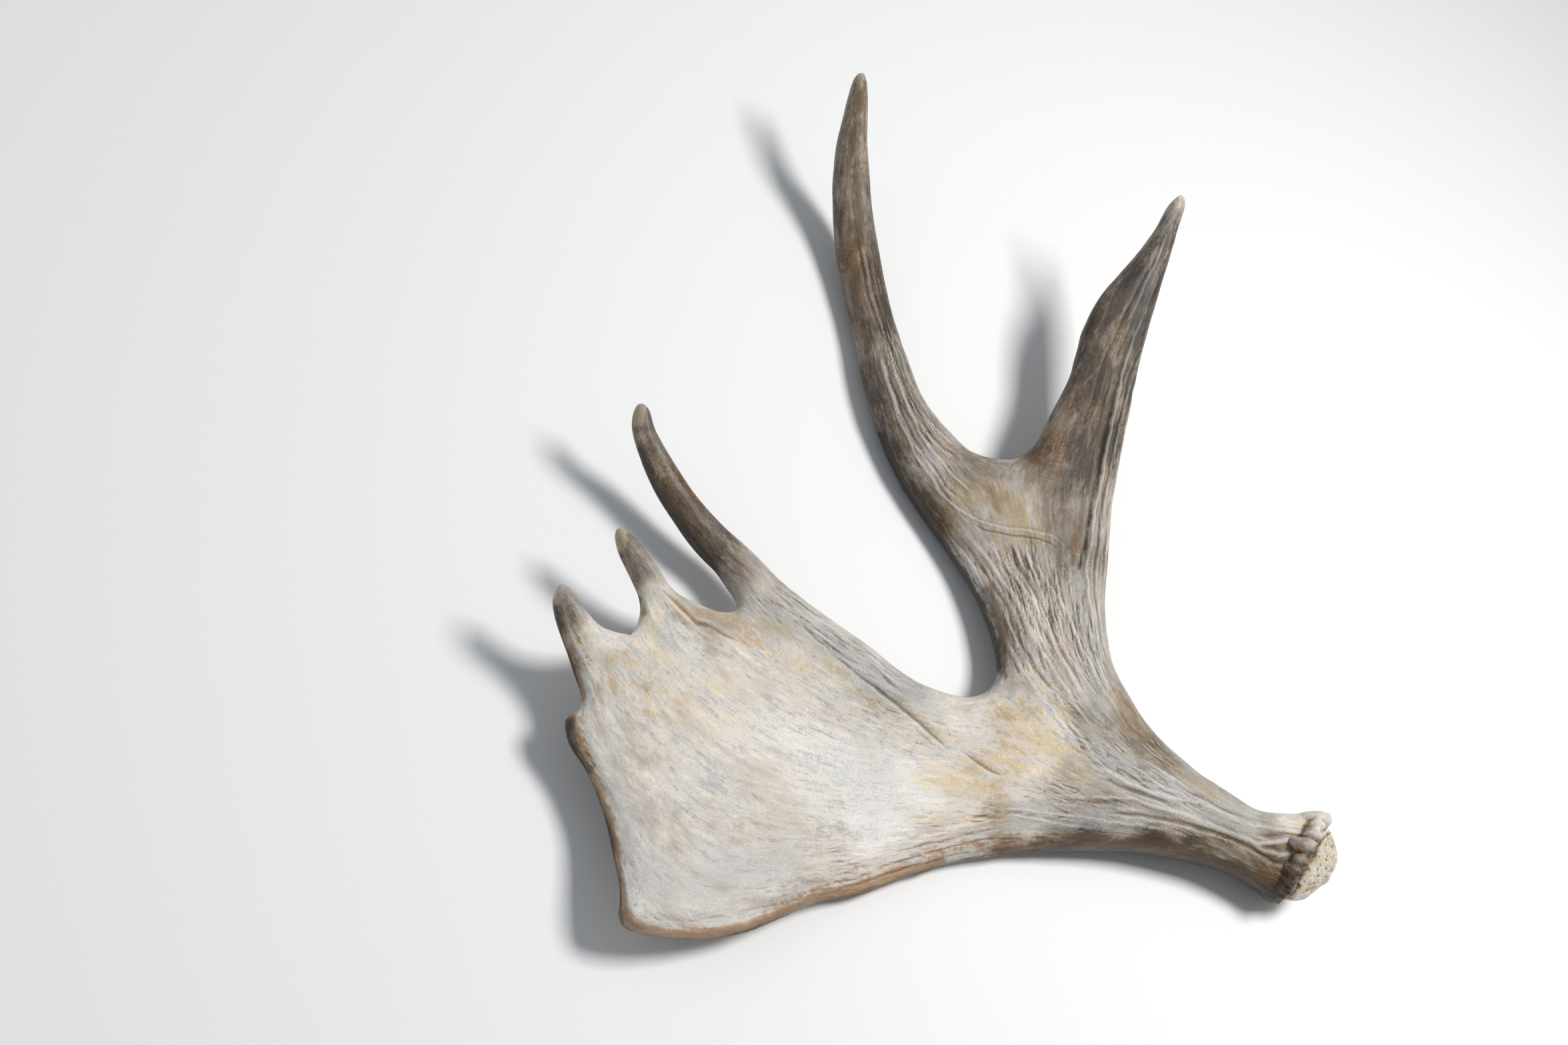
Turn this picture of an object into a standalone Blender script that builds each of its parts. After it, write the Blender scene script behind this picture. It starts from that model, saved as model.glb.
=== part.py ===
"""A shed moose antler lying on its back: its burr and beam, the brow palm with two tines, and the main palm.

The antler is drawn as a viewer in front of its hollow side sees it: x to the right, y up, z towards the
viewer, in millimetres. The outline is filled with a sheet, the sheet is raised to its depth and blown up to its
thickness along the lines of sight, and the whole is laid on its back and sawn through at its main forks.
"""

import bmesh
import bpy
import numpy as np
from mathutils import Matrix, Vector
from mathutils.geometry import delaunay_2d_cdt

MM = 0.001
VIEW_DISTANCE = 1400.0  # from the viewer to the drawing's plane z = 0

SHEET_STEP = 4.0  # spacing of the sheet's points, which lie in staggered rows
ROW_SHARE = 0.866  # of that spacing, from one row to the next
EDGE_CLEARANCE = 0.7  # of that spacing, from the rows to the outline
EDGE_STEP = 3.0  # spacing of the outline's points
EDGE_INSET = 1.0  # of the row of points that rounds the edge
CURVE_SAMPLES = 12  # between one point of the outline and the next
CALM = 1e-14  # the share of the first unrest at which a membrane counts as still
VOXEL = 2.5
SMOOTHING_ROUNDS = 4
TRIANGLES = 8600  # of the whole antler, before it is cut

PLANE_TURN_DEG = 27.0  # the palm's left side is turned towards the viewer
PLANE_LEAN_DEG = 31.0  # the tines lean away from the viewer
SOFTNESS = 18.0  # how widely each stated place of the body blends into the next
SECTION_WIDTH = 28.0  # a limb narrower than this faces the viewer squarely

SAW_GAP = 0.3
SAW_REACH = 120.0
SHARP_DEG = 50.0

# The direction that points up while the antler lies, and the place under its middle that is the origin.
UP_WHEN_LYING = (0.4712, 0.4930, 0.7313)
ORIGIN = (96.13, -19.64, -60.51)

OUTLINE = {
    "back of the long brow tine": (
        (50, 290), (45, 286), (40, 270), (34, 244), (31, 212), (33, 177), (38, 147), (45, 117), (52, 84),
        (61, 55), (72, 29), (92, -2), (111, -29), (124, -51), (133, -75), (137, -95), (134, -105),
        (126, -111), (113, -112),
    ),
    "upper edge of the main palm": (
        (92, -105), (75, -95), (57, -81), (27, -60), (-1, -38), (-17, -22), (-36, -5), (-49, 9),
    ),
    "long palm tine": (
        (-63, 27), (-74, 44), (-82, 59), (-86, 72), (-91, 77), (-96, 74), (-98, 62), (-93, 42), (-84, 21),
        (-73, 3), (-58, -18), (-45, -32), (-36, -44), (-31, -53), (-34, -57),
    ),
    "middle point": (
        (-45, -56), (-56, -51), (-71, -43), (-83, -26), (-95, -10), (-105, -3), (-109, -7), (-107, -18),
        (-100, -33), (-94, -47), (-93, -60), (-99, -71),
    ),
    "outer point": (
        (-116, -67), (-128, -55), (-136, -43), (-144, -39), (-149, -48), (-148, -60), (-143, -75),
        (-136, -96), (-131, -110), (-131, -119),
    ),
    "knob and outer rim": (
        (-136, -123), (-141, -128), (-140, -139), (-136, -148), (-128, -159), (-121, -174), (-115, -190),
        (-111, -207), (-106, -231),
    ),
    "heel and lower edge": (
        (-106, -246), (-107, -253), (-104, -260), (-96, -264), (-75, -268), (-50, -268), (-25, -264),
        (-1, -254), (20, -245), (48, -240), (73, -231), (102, -221), (130, -216), (163, -212), (196, -211),
        (229, -213), (261, -219), (286, -227), (303, -237), (313, -246),
    ),
    "seal under the burr": (
        (321, -243), (333, -243), (345, -235), (353, -225), (356, -213), (353, -201), (349, -195),
        (352, -188),
    ),
    "back of the beam": (
        (344, -186), (327, -188), (306, -185), (287, -174), (263, -158), (239, -136), (222, -111),
        (211, -88), (207, -59), (208, -26), (210, 3), (215, 35),
    ),
    "short brow tine": (
        (222, 72), (230, 109), (242, 150), (252, 183), (258, 202), (258, 208), (255, 211), (247, 204),
        (236, 185), (220, 165), (203, 145), (191, 122), (183, 93), (171, 69), (159, 48),
    ),
    "brow crotch and front of the long brow tine": (
        (143, 41), (122, 45), (107, 58), (90, 80), (78, 109), (68, 142), (61, 174), (56, 212), (54, 244),
        (54, 272), (53, 287),
    ),
}

# Where the body is stated: x, y, rise above the leaning plane, and the half thickness that a wide part has
ROUND = 45
BODY = {
    "burr": (330, -216, -2, ROUND),
    "beam": (267, -191, 6, ROUND),
    "beam by the fork": (222, -172, 12, 34),
    "fork": (168, -146, 14, 22),
    "root of the palm": (109, -172, 8, 13),
    "lower edge by the root": (120, -212, 8, 17),
    "floor of the dish": (10, -144, -12, 7.5),
    "dish, outer half": (-60, -160, 4, 7.5),
    "outer rim": (-122, -165, 54, 8),
    "lower edge": (-25, -240, 26, 8),
    "heel": (-98, -252, 58, 10),
    "upper edge": (32, -78, 12, 9),
    "dish by the points": (-70, -80, 24, 7.5),
    "rim by the outer point": (-132, -84, 62, 9),
    "tip of the outer point": (-144, -45, 88, 14),
    "tip of the middle point": (-107, -8, 78, 14),
    "root of the long palm tine": (-24, -43, 16, 12),
    "long palm tine": (-71, 21, 36, 30),
    "tip of the long palm tine": (-93, 73, 86, 30),
    "stem of the brow palm": (171, -63, 8, 17),
    "brow palm": (156, -3, 2, 14),
    "brow crotch": (138, 28, 2, 13),
    "root of the long brow tine": (88, 40, -6, 30),
    "long brow tine": (42, 156, -24, ROUND),
    "tip of the long brow tine": (50, 287, 40, ROUND),
    "root of the short brow tine": (190, 62, 6, 13),
    "short brow tine": (220, 135, 12, 12),
    "tip of the short brow tine": (255, 208, 52, 20),
}

# Across each main fork, from the empty space on one side of the limb to that on the other
SAW_CUTS = {
    "main palm": ((118, -104), (123, -228)),
    "long palm tine": ((-38, -52), (-4, -19)),
    "stem of the brow palm": ((130, -90), (219, -85)),
    "long brow tine": ((121, 53), (69, 14)),
    "short brow tine": ((140, 49), (223, 31)),
}

# Each piece's name, a place in it, and its colour
PIECES = {
    "burr_and_beam": ((240, -175), (0.36, 0.31, 0.25)),
    "main_palm": ((-20, -160), (0.60, 0.55, 0.47)),
    "long_palm_tine": ((-75, 25), (0.27, 0.21, 0.16)),
    "brow_palm": ((170, -30), (0.45, 0.39, 0.31)),
    "long_brow_tine": ((55, 120), (0.33, 0.27, 0.21)),
    "short_brow_tine": ((215, 120), (0.36, 0.32, 0.27)),
}

# The burr's ring of knobs round the end of the beam
BURR_CENTRE = (329, -215)
BURR_AXIS = (0.86, -0.49, 0.12)
BURR_RADIUS = 31.0
BURR_COLLAR = 8.0
KNOBS = 15
KNOB_RADIUS = 5.0
KNOB_STRETCH = 1.3  # along the beam
KNOB_SINK = 0.3  # of its radius, into the collar
KNOB_SHIFT = 0.2  # of the knobs' spacing
KNOB_VARIATION = 0.25  # of the knobs' radius

ROUGHNESS = 0.55


def smooth_outline():
    """The outline's points joined by a smooth closed curve and spaced evenly along it."""
    points = np.array([p for stretch in OUTLINE.values() for p in stretch], float)
    before, after, beyond = (np.roll(points, shift, axis=0) for shift in (1, -1, -2))
    t = np.linspace(0, 1, CURVE_SAMPLES, endpoint=False)[None, :, None]
    points, before, after, beyond = (p[:, None, :] for p in (points, before, after, beyond))
    curve = 0.5 * (
        2 * points
        + (after - before) * t
        + (2 * before - 5 * points + 4 * after - beyond) * t**2
        + (3 * points - before - 3 * after + beyond) * t**3
    ).reshape(-1, 2)
    closed = np.vstack([curve, curve[:1]])
    length = np.concatenate([[0], np.cumsum(np.linalg.norm(np.diff(closed, axis=0), axis=1))])
    stations = np.linspace(0, length[-1], int(length[-1] / EDGE_STEP), endpoint=False)
    return np.stack([np.interp(stations, length, closed[:, axis]) for axis in (0, 1)], axis=1)


def distance_to(ring, points):
    """How far each point is from the nearest point of the ring."""
    return np.concatenate([
        np.linalg.norm(part[:, None] - ring[None], axis=2).min(axis=1)
        for part in np.array_split(points, len(points) // 500 + 1)
    ])


def fill_outline(ring):
    """A flat triangulated sheet: its points, the ring first, and its triangles."""
    low, high = ring.min(axis=0), ring.max(axis=0)
    rows = np.arange(low[1], high[1], SHEET_STEP * ROW_SHARE)
    columns = np.arange(low[0], high[0], SHEET_STEP)
    shift = (np.arange(len(rows)) % 2)[:, None] * SHEET_STEP / 2
    grid = np.stack([columns[None] + shift, rows[:, None] + 0 * columns[None]], axis=2).reshape(-1, 2)
    grid = grid[distance_to(ring, grid) > EDGE_CLEARANCE * SHEET_STEP]
    points = [Vector(p) for p in np.vstack([ring, ring_inset(ring, EDGE_INSET), grid])]
    found = delaunay_2d_cdt(points, [], [list(range(len(ring)))], 1, 1e-5)
    used, triangles = np.unique(np.array(found[2]), return_inverse=True)
    return np.array(found[0])[used], triangles.reshape(-1, 3)


def ring_inset(ring, inset):
    """The ring moved inwards, without the points that come too near another stretch of it."""
    along = np.roll(ring, -1, axis=0) - np.roll(ring, 1, axis=0)
    along /= np.linalg.norm(along, axis=1)[:, None]
    area = 0.5 * np.sum(ring[:, 0] * np.roll(ring[:, 1], -1) - ring[:, 1] * np.roll(ring[:, 0], -1))
    inward = np.stack([-along[:, 1], along[:, 0]], axis=1) * np.sign(area)
    moved = ring + inward * inset
    return moved[distance_to(ring, moved) > 0.9 * inset]


class Membrane:
    """The sheet as a stretched skin, on which smooth quantities are worked out."""

    def __init__(self, points, triangles):
        self.count = len(points)
        corners = points[triangles]
        sides = [corners[:, (k + 2) % 3] - corners[:, (k + 1) % 3] for k in range(3)]
        twice_area = np.abs(sides[0][:, 0] * sides[1][:, 1] - sides[0][:, 1] * sides[1][:, 0])
        self.starts, self.ends, self.pulls = [], [], []
        for k in range(3):
            pull = -np.sum(sides[(k + 1) % 3] * sides[(k + 2) % 3], axis=1) / (2 * twice_area)
            self.starts.append(triangles[:, (k + 1) % 3])
            self.ends.append(triangles[:, (k + 2) % 3])
            self.pulls.append(pull)
        self.starts, self.ends, self.pulls = map(np.concatenate, (self.starts, self.ends, self.pulls))
        self.area = np.bincount(triangles.ravel(), np.repeat(twice_area / 6, 3), self.count)

    def tension(self, values):
        """How hard the skin pulls each point back towards its neighbours."""
        pull = self.pulls * (values[self.starts] - values[self.ends])
        return np.bincount(self.starts, pull, self.count) - np.bincount(self.ends, pull, self.count)

    def solve(self, stiffness, load, free):
        """The skin's shape under a load, held by a bed of springs and fixed at 0 where it isn't free."""
        diagonal = np.bincount(self.starts, self.pulls, self.count)
        diagonal += np.bincount(self.ends, self.pulls, self.count) + stiffness * self.area
        shape = np.zeros(self.count)
        rest = load * self.area * free
        step = rest / diagonal
        gain = rest @ step
        limit = gain * CALM
        while gain > limit:
            answer = (self.tension(step) + stiffness * self.area * step) * free
            size = gain / (step @ answer)
            shape += size * step
            rest -= size * answer
            eased = rest / diagonal
            new_gain = rest @ eased
            step = eased + new_gain / gain * step
            gain = new_gain
        return shape


def leaning_plane(points):
    """The depth of the plane that the antler lies along."""
    turn, lean = np.tan(np.radians((PLANE_TURN_DEG, PLANE_LEAN_DEG)))
    return -turn * points[:, 0] - lean * points[:, 1]


def spread(places, values, points):
    """Values stated at the body's places, spread smoothly over the points."""
    offset = np.linalg.norm(points[:, None] - places[None, :, :2], axis=2)
    weight = 1 / (offset**2 + SOFTNESS**2) ** 2
    return weight @ values / weight.sum(axis=1)


def depth_and_thickness(points, triangles, ring_size):
    """Each point's depth z, and how far the surface stands off to both sides of it."""
    membrane = Membrane(points, triangles)
    places = np.array(list(BODY.values()), float)
    wanted = leaning_plane(points) + spread(places, places[:, 2], points)
    everywhere = np.ones(len(points))
    depth = membrane.solve(SECTION_WIDTH**-2, wanted * SECTION_WIDTH**-2, everywhere)
    inside = (np.arange(len(points)) >= ring_size).astype(float)
    limit = spread(places, places[:, 3], points)
    bulge = membrane.solve(2 / limit**2, everywhere, inside)
    return depth, np.sqrt(2 * np.maximum(bulge, 0))


def in_space(flat, depth):
    """Drawn points at their real places: what is nearer the viewer is smaller than it looks."""
    return np.column_stack([flat * (1 - depth / VIEW_DISTANCE)[:, None], depth])


def antler_sheets():
    """The antler as one closed mesh: a front and a back sheet that share the outline."""
    ring = smooth_outline()
    flat, triangles = fill_outline(ring)
    on_ring = len(ring)
    depth, thickness = depth_and_thickness(flat, triangles, on_ring)
    front = in_space(flat, depth + thickness)
    back = in_space(flat[on_ring:], (depth - thickness)[on_ring:])
    behind = np.where(triangles < on_ring, triangles, triangles + len(flat) - on_ring)
    faces = np.vstack([triangles, behind[:, ::-1]])
    centre = np.linalg.norm(flat - BURR_CENTRE, axis=1).argmin()
    return np.vstack([front, back]), faces, depth[centre]


def add_burr(body, depth):
    """The collar at the end of the beam with its ring of knobs, overlapping the body."""
    axis = Vector(BURR_AXIS).normalized()
    turn = axis.to_track_quat("Z", "Y").to_matrix().to_4x4()
    centre = Vector(in_space(np.array([BURR_CENTRE], float), np.array([depth]))[0])
    place = Matrix.Translation(centre) @ turn
    collar = Matrix.Diagonal((BURR_RADIUS, BURR_RADIUS, BURR_COLLAR, 1))
    bmesh.ops.create_icosphere(body, subdivisions=3, radius=1, matrix=place @ collar)
    for k in range(KNOBS):
        swing = 2 * np.pi * (k + KNOB_SHIFT * np.sin(5 * k)) / KNOBS
        size = KNOB_RADIUS * (1 + KNOB_VARIATION * np.sin(3.7 * k))
        reach = Vector((np.cos(swing), np.sin(swing), 0)) * (BURR_RADIUS - KNOB_SINK * size)
        spot = place @ Matrix.Translation(reach)
        stretch = Matrix.Diagonal((1, 1, KNOB_STRETCH, 1))
        bmesh.ops.create_icosphere(body, subdivisions=2, radius=size, matrix=spot @ stretch)


def resting_place():
    """Takes the drawing, in millimetres, to where the antler lies, in metres."""
    up = Vector(UP_WHEN_LYING).normalized()
    right = (Vector((1, 0, 0)) - up * up.x).normalized()
    turn = Matrix((right, up.cross(right), up)).to_4x4()
    return Matrix.Scale(MM, 4) @ turn @ Matrix.Translation(-Vector(ORIGIN))


def new_object(name, mesh):
    """An object in the scene that shows the mesh."""
    thing = bpy.data.objects.new(name, mesh)
    bpy.context.collection.objects.link(thing)
    return thing


def applied(thing):
    """The object's mesh with its modifiers worked out, in place of its own."""
    evaluated = thing.evaluated_get(bpy.context.evaluated_depsgraph_get())
    mesh = bpy.data.meshes.new_from_object(evaluated)
    thing.modifiers.clear()
    thing.data = mesh
    return mesh


def whole_antler():
    """The antler in one piece, as an even mesh thinned out where it is flat."""
    points, faces, burr_depth = antler_sheets()
    mesh = bpy.data.meshes.new("whole_antler")
    mesh.from_pydata(points.tolist(), [], faces.tolist())
    body = bmesh.new()
    body.from_mesh(mesh)
    bmesh.ops.recalc_face_normals(body, faces=body.faces)
    add_burr(body, burr_depth)
    body.transform(resting_place())
    body.to_mesh(mesh)
    body.free()
    antler = new_object("whole_antler", mesh)
    fuse = antler.modifiers.new("Fuse", "REMESH")
    fuse.mode = "VOXEL"
    fuse.voxel_size = VOXEL * MM
    ease = antler.modifiers.new("Ease", "SMOOTH")
    ease.iterations = SMOOTHING_ROUNDS
    mesh = applied(antler)
    mesh.calc_loop_triangles()
    thin = antler.modifiers.new("Thin out", "DECIMATE")
    thin.ratio = TRIANGLES / len(mesh.loop_triangles)
    applied(antler)
    return antler


def saw_blade(name, cut):
    """A thin slab across one fork, upright along the lines of sight and wide enough to part the limb."""
    ends = np.array(cut, float)
    along = ends[1] - ends[0]
    across = np.array([-along[1], along[0]]) / np.linalg.norm(along) * SAW_GAP / 2
    corners = np.vstack([ends + across, ends[::-1] - across])
    middle = leaning_plane(ends).mean()
    layers = [in_space(corners, np.full(4, middle + reach)) for reach in (-SAW_REACH, SAW_REACH)]
    blade = bmesh.new()
    for corner in np.vstack(layers):
        blade.verts.new(corner)
    bmesh.ops.convex_hull(blade, input=blade.verts)
    blade.transform(resting_place())
    mesh = bpy.data.meshes.new(name)
    blade.to_mesh(mesh)
    blade.free()
    cutter = new_object(name, mesh)
    cutter.hide_render = True
    cutter.display_type = "WIRE"
    return cutter


def sawn_pieces(antler):
    """The antler's loose pieces, once a saw has gone through each of its main forks."""
    for limb, cut in SAW_CUTS.items():
        blade = saw_blade(f"saw blade, {limb}", cut)
        saw = antler.modifiers.new(blade.name, "BOOLEAN")
        saw.object = blade
    applied(antler)
    bpy.ops.object.select_all(action="DESELECT")
    antler.select_set(True)
    bpy.context.view_layer.objects.active = antler
    bpy.ops.mesh.separate(type="LOOSE")
    return list(bpy.context.selected_objects)


def name_piece(pieces, name, place, colour):
    """Names and colours the piece that reaches nearest to a place in the drawing."""
    flat = np.array([place], float)
    spot = resting_place() @ Vector(in_space(flat, leaning_plane(flat))[0])
    piece = min(pieces, key=lambda thing: min((v.co - spot).length for v in thing.data.vertices))
    piece.name = piece.data.name = name
    material = bpy.data.materials.new(name)
    material.use_nodes = True
    surface = material.node_tree.nodes["Principled BSDF"]
    surface.inputs["Base Color"].default_value = (*colour, 1)
    surface.inputs["Roughness"].default_value = ROUGHNESS
    surface.inputs["Metallic"].default_value = 0
    piece.data.materials.append(material)
    piece.data.shade_smooth()
    piece.data.set_sharp_from_angle(angle=np.radians(SHARP_DEG))


def main():
    """Clears the scene and makes the six pieces."""
    for thing in list(bpy.data.objects):
        bpy.data.objects.remove(thing)
    pieces = sawn_pieces(whole_antler())
    for name, (place, colour) in PIECES.items():
        name_piece(pieces, name, place, colour)


if __name__ == "__main__":
    main()
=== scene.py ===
"""A shed moose antler, lying on its back in a plain studio.

The antler is drawn as a viewer in front of its hollow side sees it: x to the right, y up, z towards the
viewer, in millimetres. Its outline is filled with a sheet, which is raised to its depth and blown up to its
thickness along the lines of sight. The sheet also carries the way that the bone grew, from the burr out to
every tip, and the furrows, streaks and stains of the surface follow that.
"""

import bmesh
import bpy
import numpy as np
from mathutils import Matrix, Vector
from mathutils.bvhtree import BVHTree
from mathutils.geometry import delaunay_2d_cdt


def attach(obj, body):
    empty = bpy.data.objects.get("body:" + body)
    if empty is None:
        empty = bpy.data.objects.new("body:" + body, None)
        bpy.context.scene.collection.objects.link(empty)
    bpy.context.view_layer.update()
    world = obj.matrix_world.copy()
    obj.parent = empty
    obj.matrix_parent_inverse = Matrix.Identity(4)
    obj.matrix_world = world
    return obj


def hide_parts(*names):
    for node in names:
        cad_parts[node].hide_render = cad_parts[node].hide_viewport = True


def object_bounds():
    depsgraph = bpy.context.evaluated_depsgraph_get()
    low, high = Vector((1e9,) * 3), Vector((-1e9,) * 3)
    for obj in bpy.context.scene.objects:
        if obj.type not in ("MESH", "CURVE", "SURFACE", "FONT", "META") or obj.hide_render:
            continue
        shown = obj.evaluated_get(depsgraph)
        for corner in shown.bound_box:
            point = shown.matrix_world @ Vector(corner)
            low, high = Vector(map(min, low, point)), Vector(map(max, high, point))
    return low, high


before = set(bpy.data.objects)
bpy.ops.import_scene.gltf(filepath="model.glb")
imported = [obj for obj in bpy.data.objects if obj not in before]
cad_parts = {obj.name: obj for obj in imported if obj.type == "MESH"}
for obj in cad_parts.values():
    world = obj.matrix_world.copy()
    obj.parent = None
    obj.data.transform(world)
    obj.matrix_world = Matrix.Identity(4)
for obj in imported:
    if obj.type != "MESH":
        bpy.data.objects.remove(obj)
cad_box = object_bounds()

bl_info = {
    "name": "Moose Antler",
    "version": (1, 0, 0),
    "blender": (4, 5, 0),
    "location": "3D View > Sidebar > Antler",
    "description": "Grows a shed moose antler round its packed solids and lays it in a plain studio",
    "category": "Add Mesh",
}

MM = 0.001
VIEW_DISTANCE = 1400.0  # from the viewer to the drawing's plane z = 0

SHEET_STEP = 2.6  # spacing of the sheet's points, which lie in staggered rows
ROW_SHARE = 0.866  # of that spacing, from one row to the next
EDGE_CLEARANCE = 0.7  # of that spacing, from the rows to the outline
EDGE_STEP = 2.0  # spacing of the outline's points
EDGE_INSET = 0.8  # of the row of points that rounds the edge
CURVE_SAMPLES = 12  # between one point of the outline and the next
INSET_KEPT = 0.9  # of the inset: a moved point that is nearer to the outline than this is dropped
BATCH = 500  # points whose distances are worked out at one time
INSIDE_ONLY = 1  # the triangulation's setting that leaves out what lies outside the outline
CALM = 1e-12  # the share of the first unrest at which a membrane counts as still
WIDTH_SOFTNESS = 8.0  # over which the growth's width is blurred
SMOOTHING_ROUNDS = 3  # of the fused skin
HOLLOW_REACH = 5  # rounds of blurring that show where the relief is hollow
BOX_MARGIN = 0.0001  # that the bone keeps clear of the sides of the CAD model's box

PLANE_TURN_DEG = 27.0  # the palm's left side is turned towards the viewer
PLANE_LEAN_DEG = 31.0  # the tines lean away from the viewer
SOFTNESS = 18.0  # how widely each stated place of the body blends into the next
SECTION_WIDTH = 28.0  # a limb narrower than this faces the viewer squarely

# The direction that points up while the antler lies, and the place under its middle that is the origin
UP_WHEN_LYING = (0.4712, 0.4930, 0.7313)
ORIGIN = (96.13, -19.64, -60.51)

OUTLINE = {
    "back of the long brow tine": (
        (50, 290), (45, 286), (40, 270), (34, 244), (31, 212), (33, 177), (38, 147), (45, 117), (52, 84),
        (61, 55), (72, 29), (92, -2), (111, -29), (124, -51), (133, -75), (137, -95), (134, -105),
        (126, -111), (113, -112),
    ),
    "upper edge of the main palm": (
        (92, -105), (75, -95), (57, -81), (27, -60), (-1, -38), (-17, -22), (-36, -5), (-49, 9),
    ),
    "long palm tine": (
        (-63, 27), (-74, 44), (-82, 59), (-86, 72), (-91, 77), (-96, 74), (-98, 62), (-93, 42), (-84, 21),
        (-73, 3), (-58, -18), (-45, -32), (-36, -44), (-31, -53), (-34, -57),
    ),
    "middle point": (
        (-45, -56), (-56, -51), (-71, -43), (-83, -26), (-95, -10), (-105, -3), (-109, -7), (-107, -18),
        (-100, -33), (-94, -47), (-93, -60), (-99, -71),
    ),
    "outer point": (
        (-116, -67), (-128, -55), (-136, -43), (-144, -39), (-149, -48), (-148, -60), (-143, -75),
        (-136, -96), (-131, -110), (-131, -119),
    ),
    "knob and outer rim": (
        (-136, -123), (-141, -128), (-140, -139), (-136, -148), (-128, -159), (-121, -174), (-115, -190),
        (-111, -207), (-106, -231),
    ),
    "heel and lower edge": (
        (-106, -246), (-107, -253), (-104, -260), (-96, -264), (-75, -268), (-50, -268), (-25, -264),
        (-1, -254), (20, -245), (48, -240), (73, -231), (102, -221), (130, -216), (163, -212), (196, -211),
        (229, -213), (261, -219), (286, -227), (303, -237), (313, -246),
    ),
    "seal under the burr": (
        (321, -243), (333, -243), (345, -235), (353, -225), (356, -213), (353, -201), (349, -195),
        (352, -188),
    ),
    "back of the beam": (
        (344, -186), (327, -188), (306, -185), (287, -174), (263, -158), (239, -136), (222, -111),
        (211, -88), (207, -59), (208, -26), (210, 3), (215, 35),
    ),
    "short brow tine": (
        (222, 72), (230, 109), (242, 150), (252, 183), (258, 202), (258, 208), (255, 211), (247, 204),
        (236, 185), (220, 165), (203, 145), (191, 122), (183, 93), (171, 69), (159, 48),
    ),
    "brow crotch and front of the long brow tine": (
        (143, 41), (122, 45), (107, 58), (90, 80), (78, 109), (68, 142), (61, 174), (56, 212), (54, 244),
        (54, 272), (53, 287),
    ),
}

# Where the body is stated: x, y, rise above the leaning plane, and the half thickness that a wide part has
ROUND = 45
BODY = {
    "burr": (330, -216, -2, ROUND),
    "beam": (267, -191, 6, ROUND),
    "beam by the fork": (222, -172, 12, 34),
    "fork": (168, -146, 14, 22),
    "root of the palm": (109, -172, 8, 13),
    "lower edge by the root": (120, -212, 8, 17),
    "floor of the dish": (10, -144, -12, 7.5),
    "dish, outer half": (-60, -160, 4, 7.5),
    "outer rim": (-122, -165, 54, 8),
    "lower edge": (-25, -240, 26, 8),
    "heel": (-98, -252, 58, 10),
    "upper edge": (32, -78, 12, 9),
    "dish by the points": (-70, -80, 24, 7.5),
    "rim by the outer point": (-132, -84, 62, 9),
    "tip of the outer point": (-144, -45, 88, 14),
    "tip of the middle point": (-107, -8, 78, 14),
    "root of the long palm tine": (-24, -43, 16, 12),
    "long palm tine": (-71, 21, 36, 30),
    "tip of the long palm tine": (-93, 73, 86, 30),
    "stem of the brow palm": (171, -63, 8, 17),
    "brow palm": (156, -3, 2, 14),
    "brow crotch": (138, 28, 2, 13),
    "root of the long brow tine": (88, 40, -6, 30),
    "long brow tine": (42, 156, -24, ROUND),
    "tip of the long brow tine": (50, 287, 40, ROUND),
    "root of the short brow tine": (190, 62, 6, 13),
    "short brow tine": (220, 135, 12, 12),
    "tip of the short brow tine": (255, 208, 52, 20),
}

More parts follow.
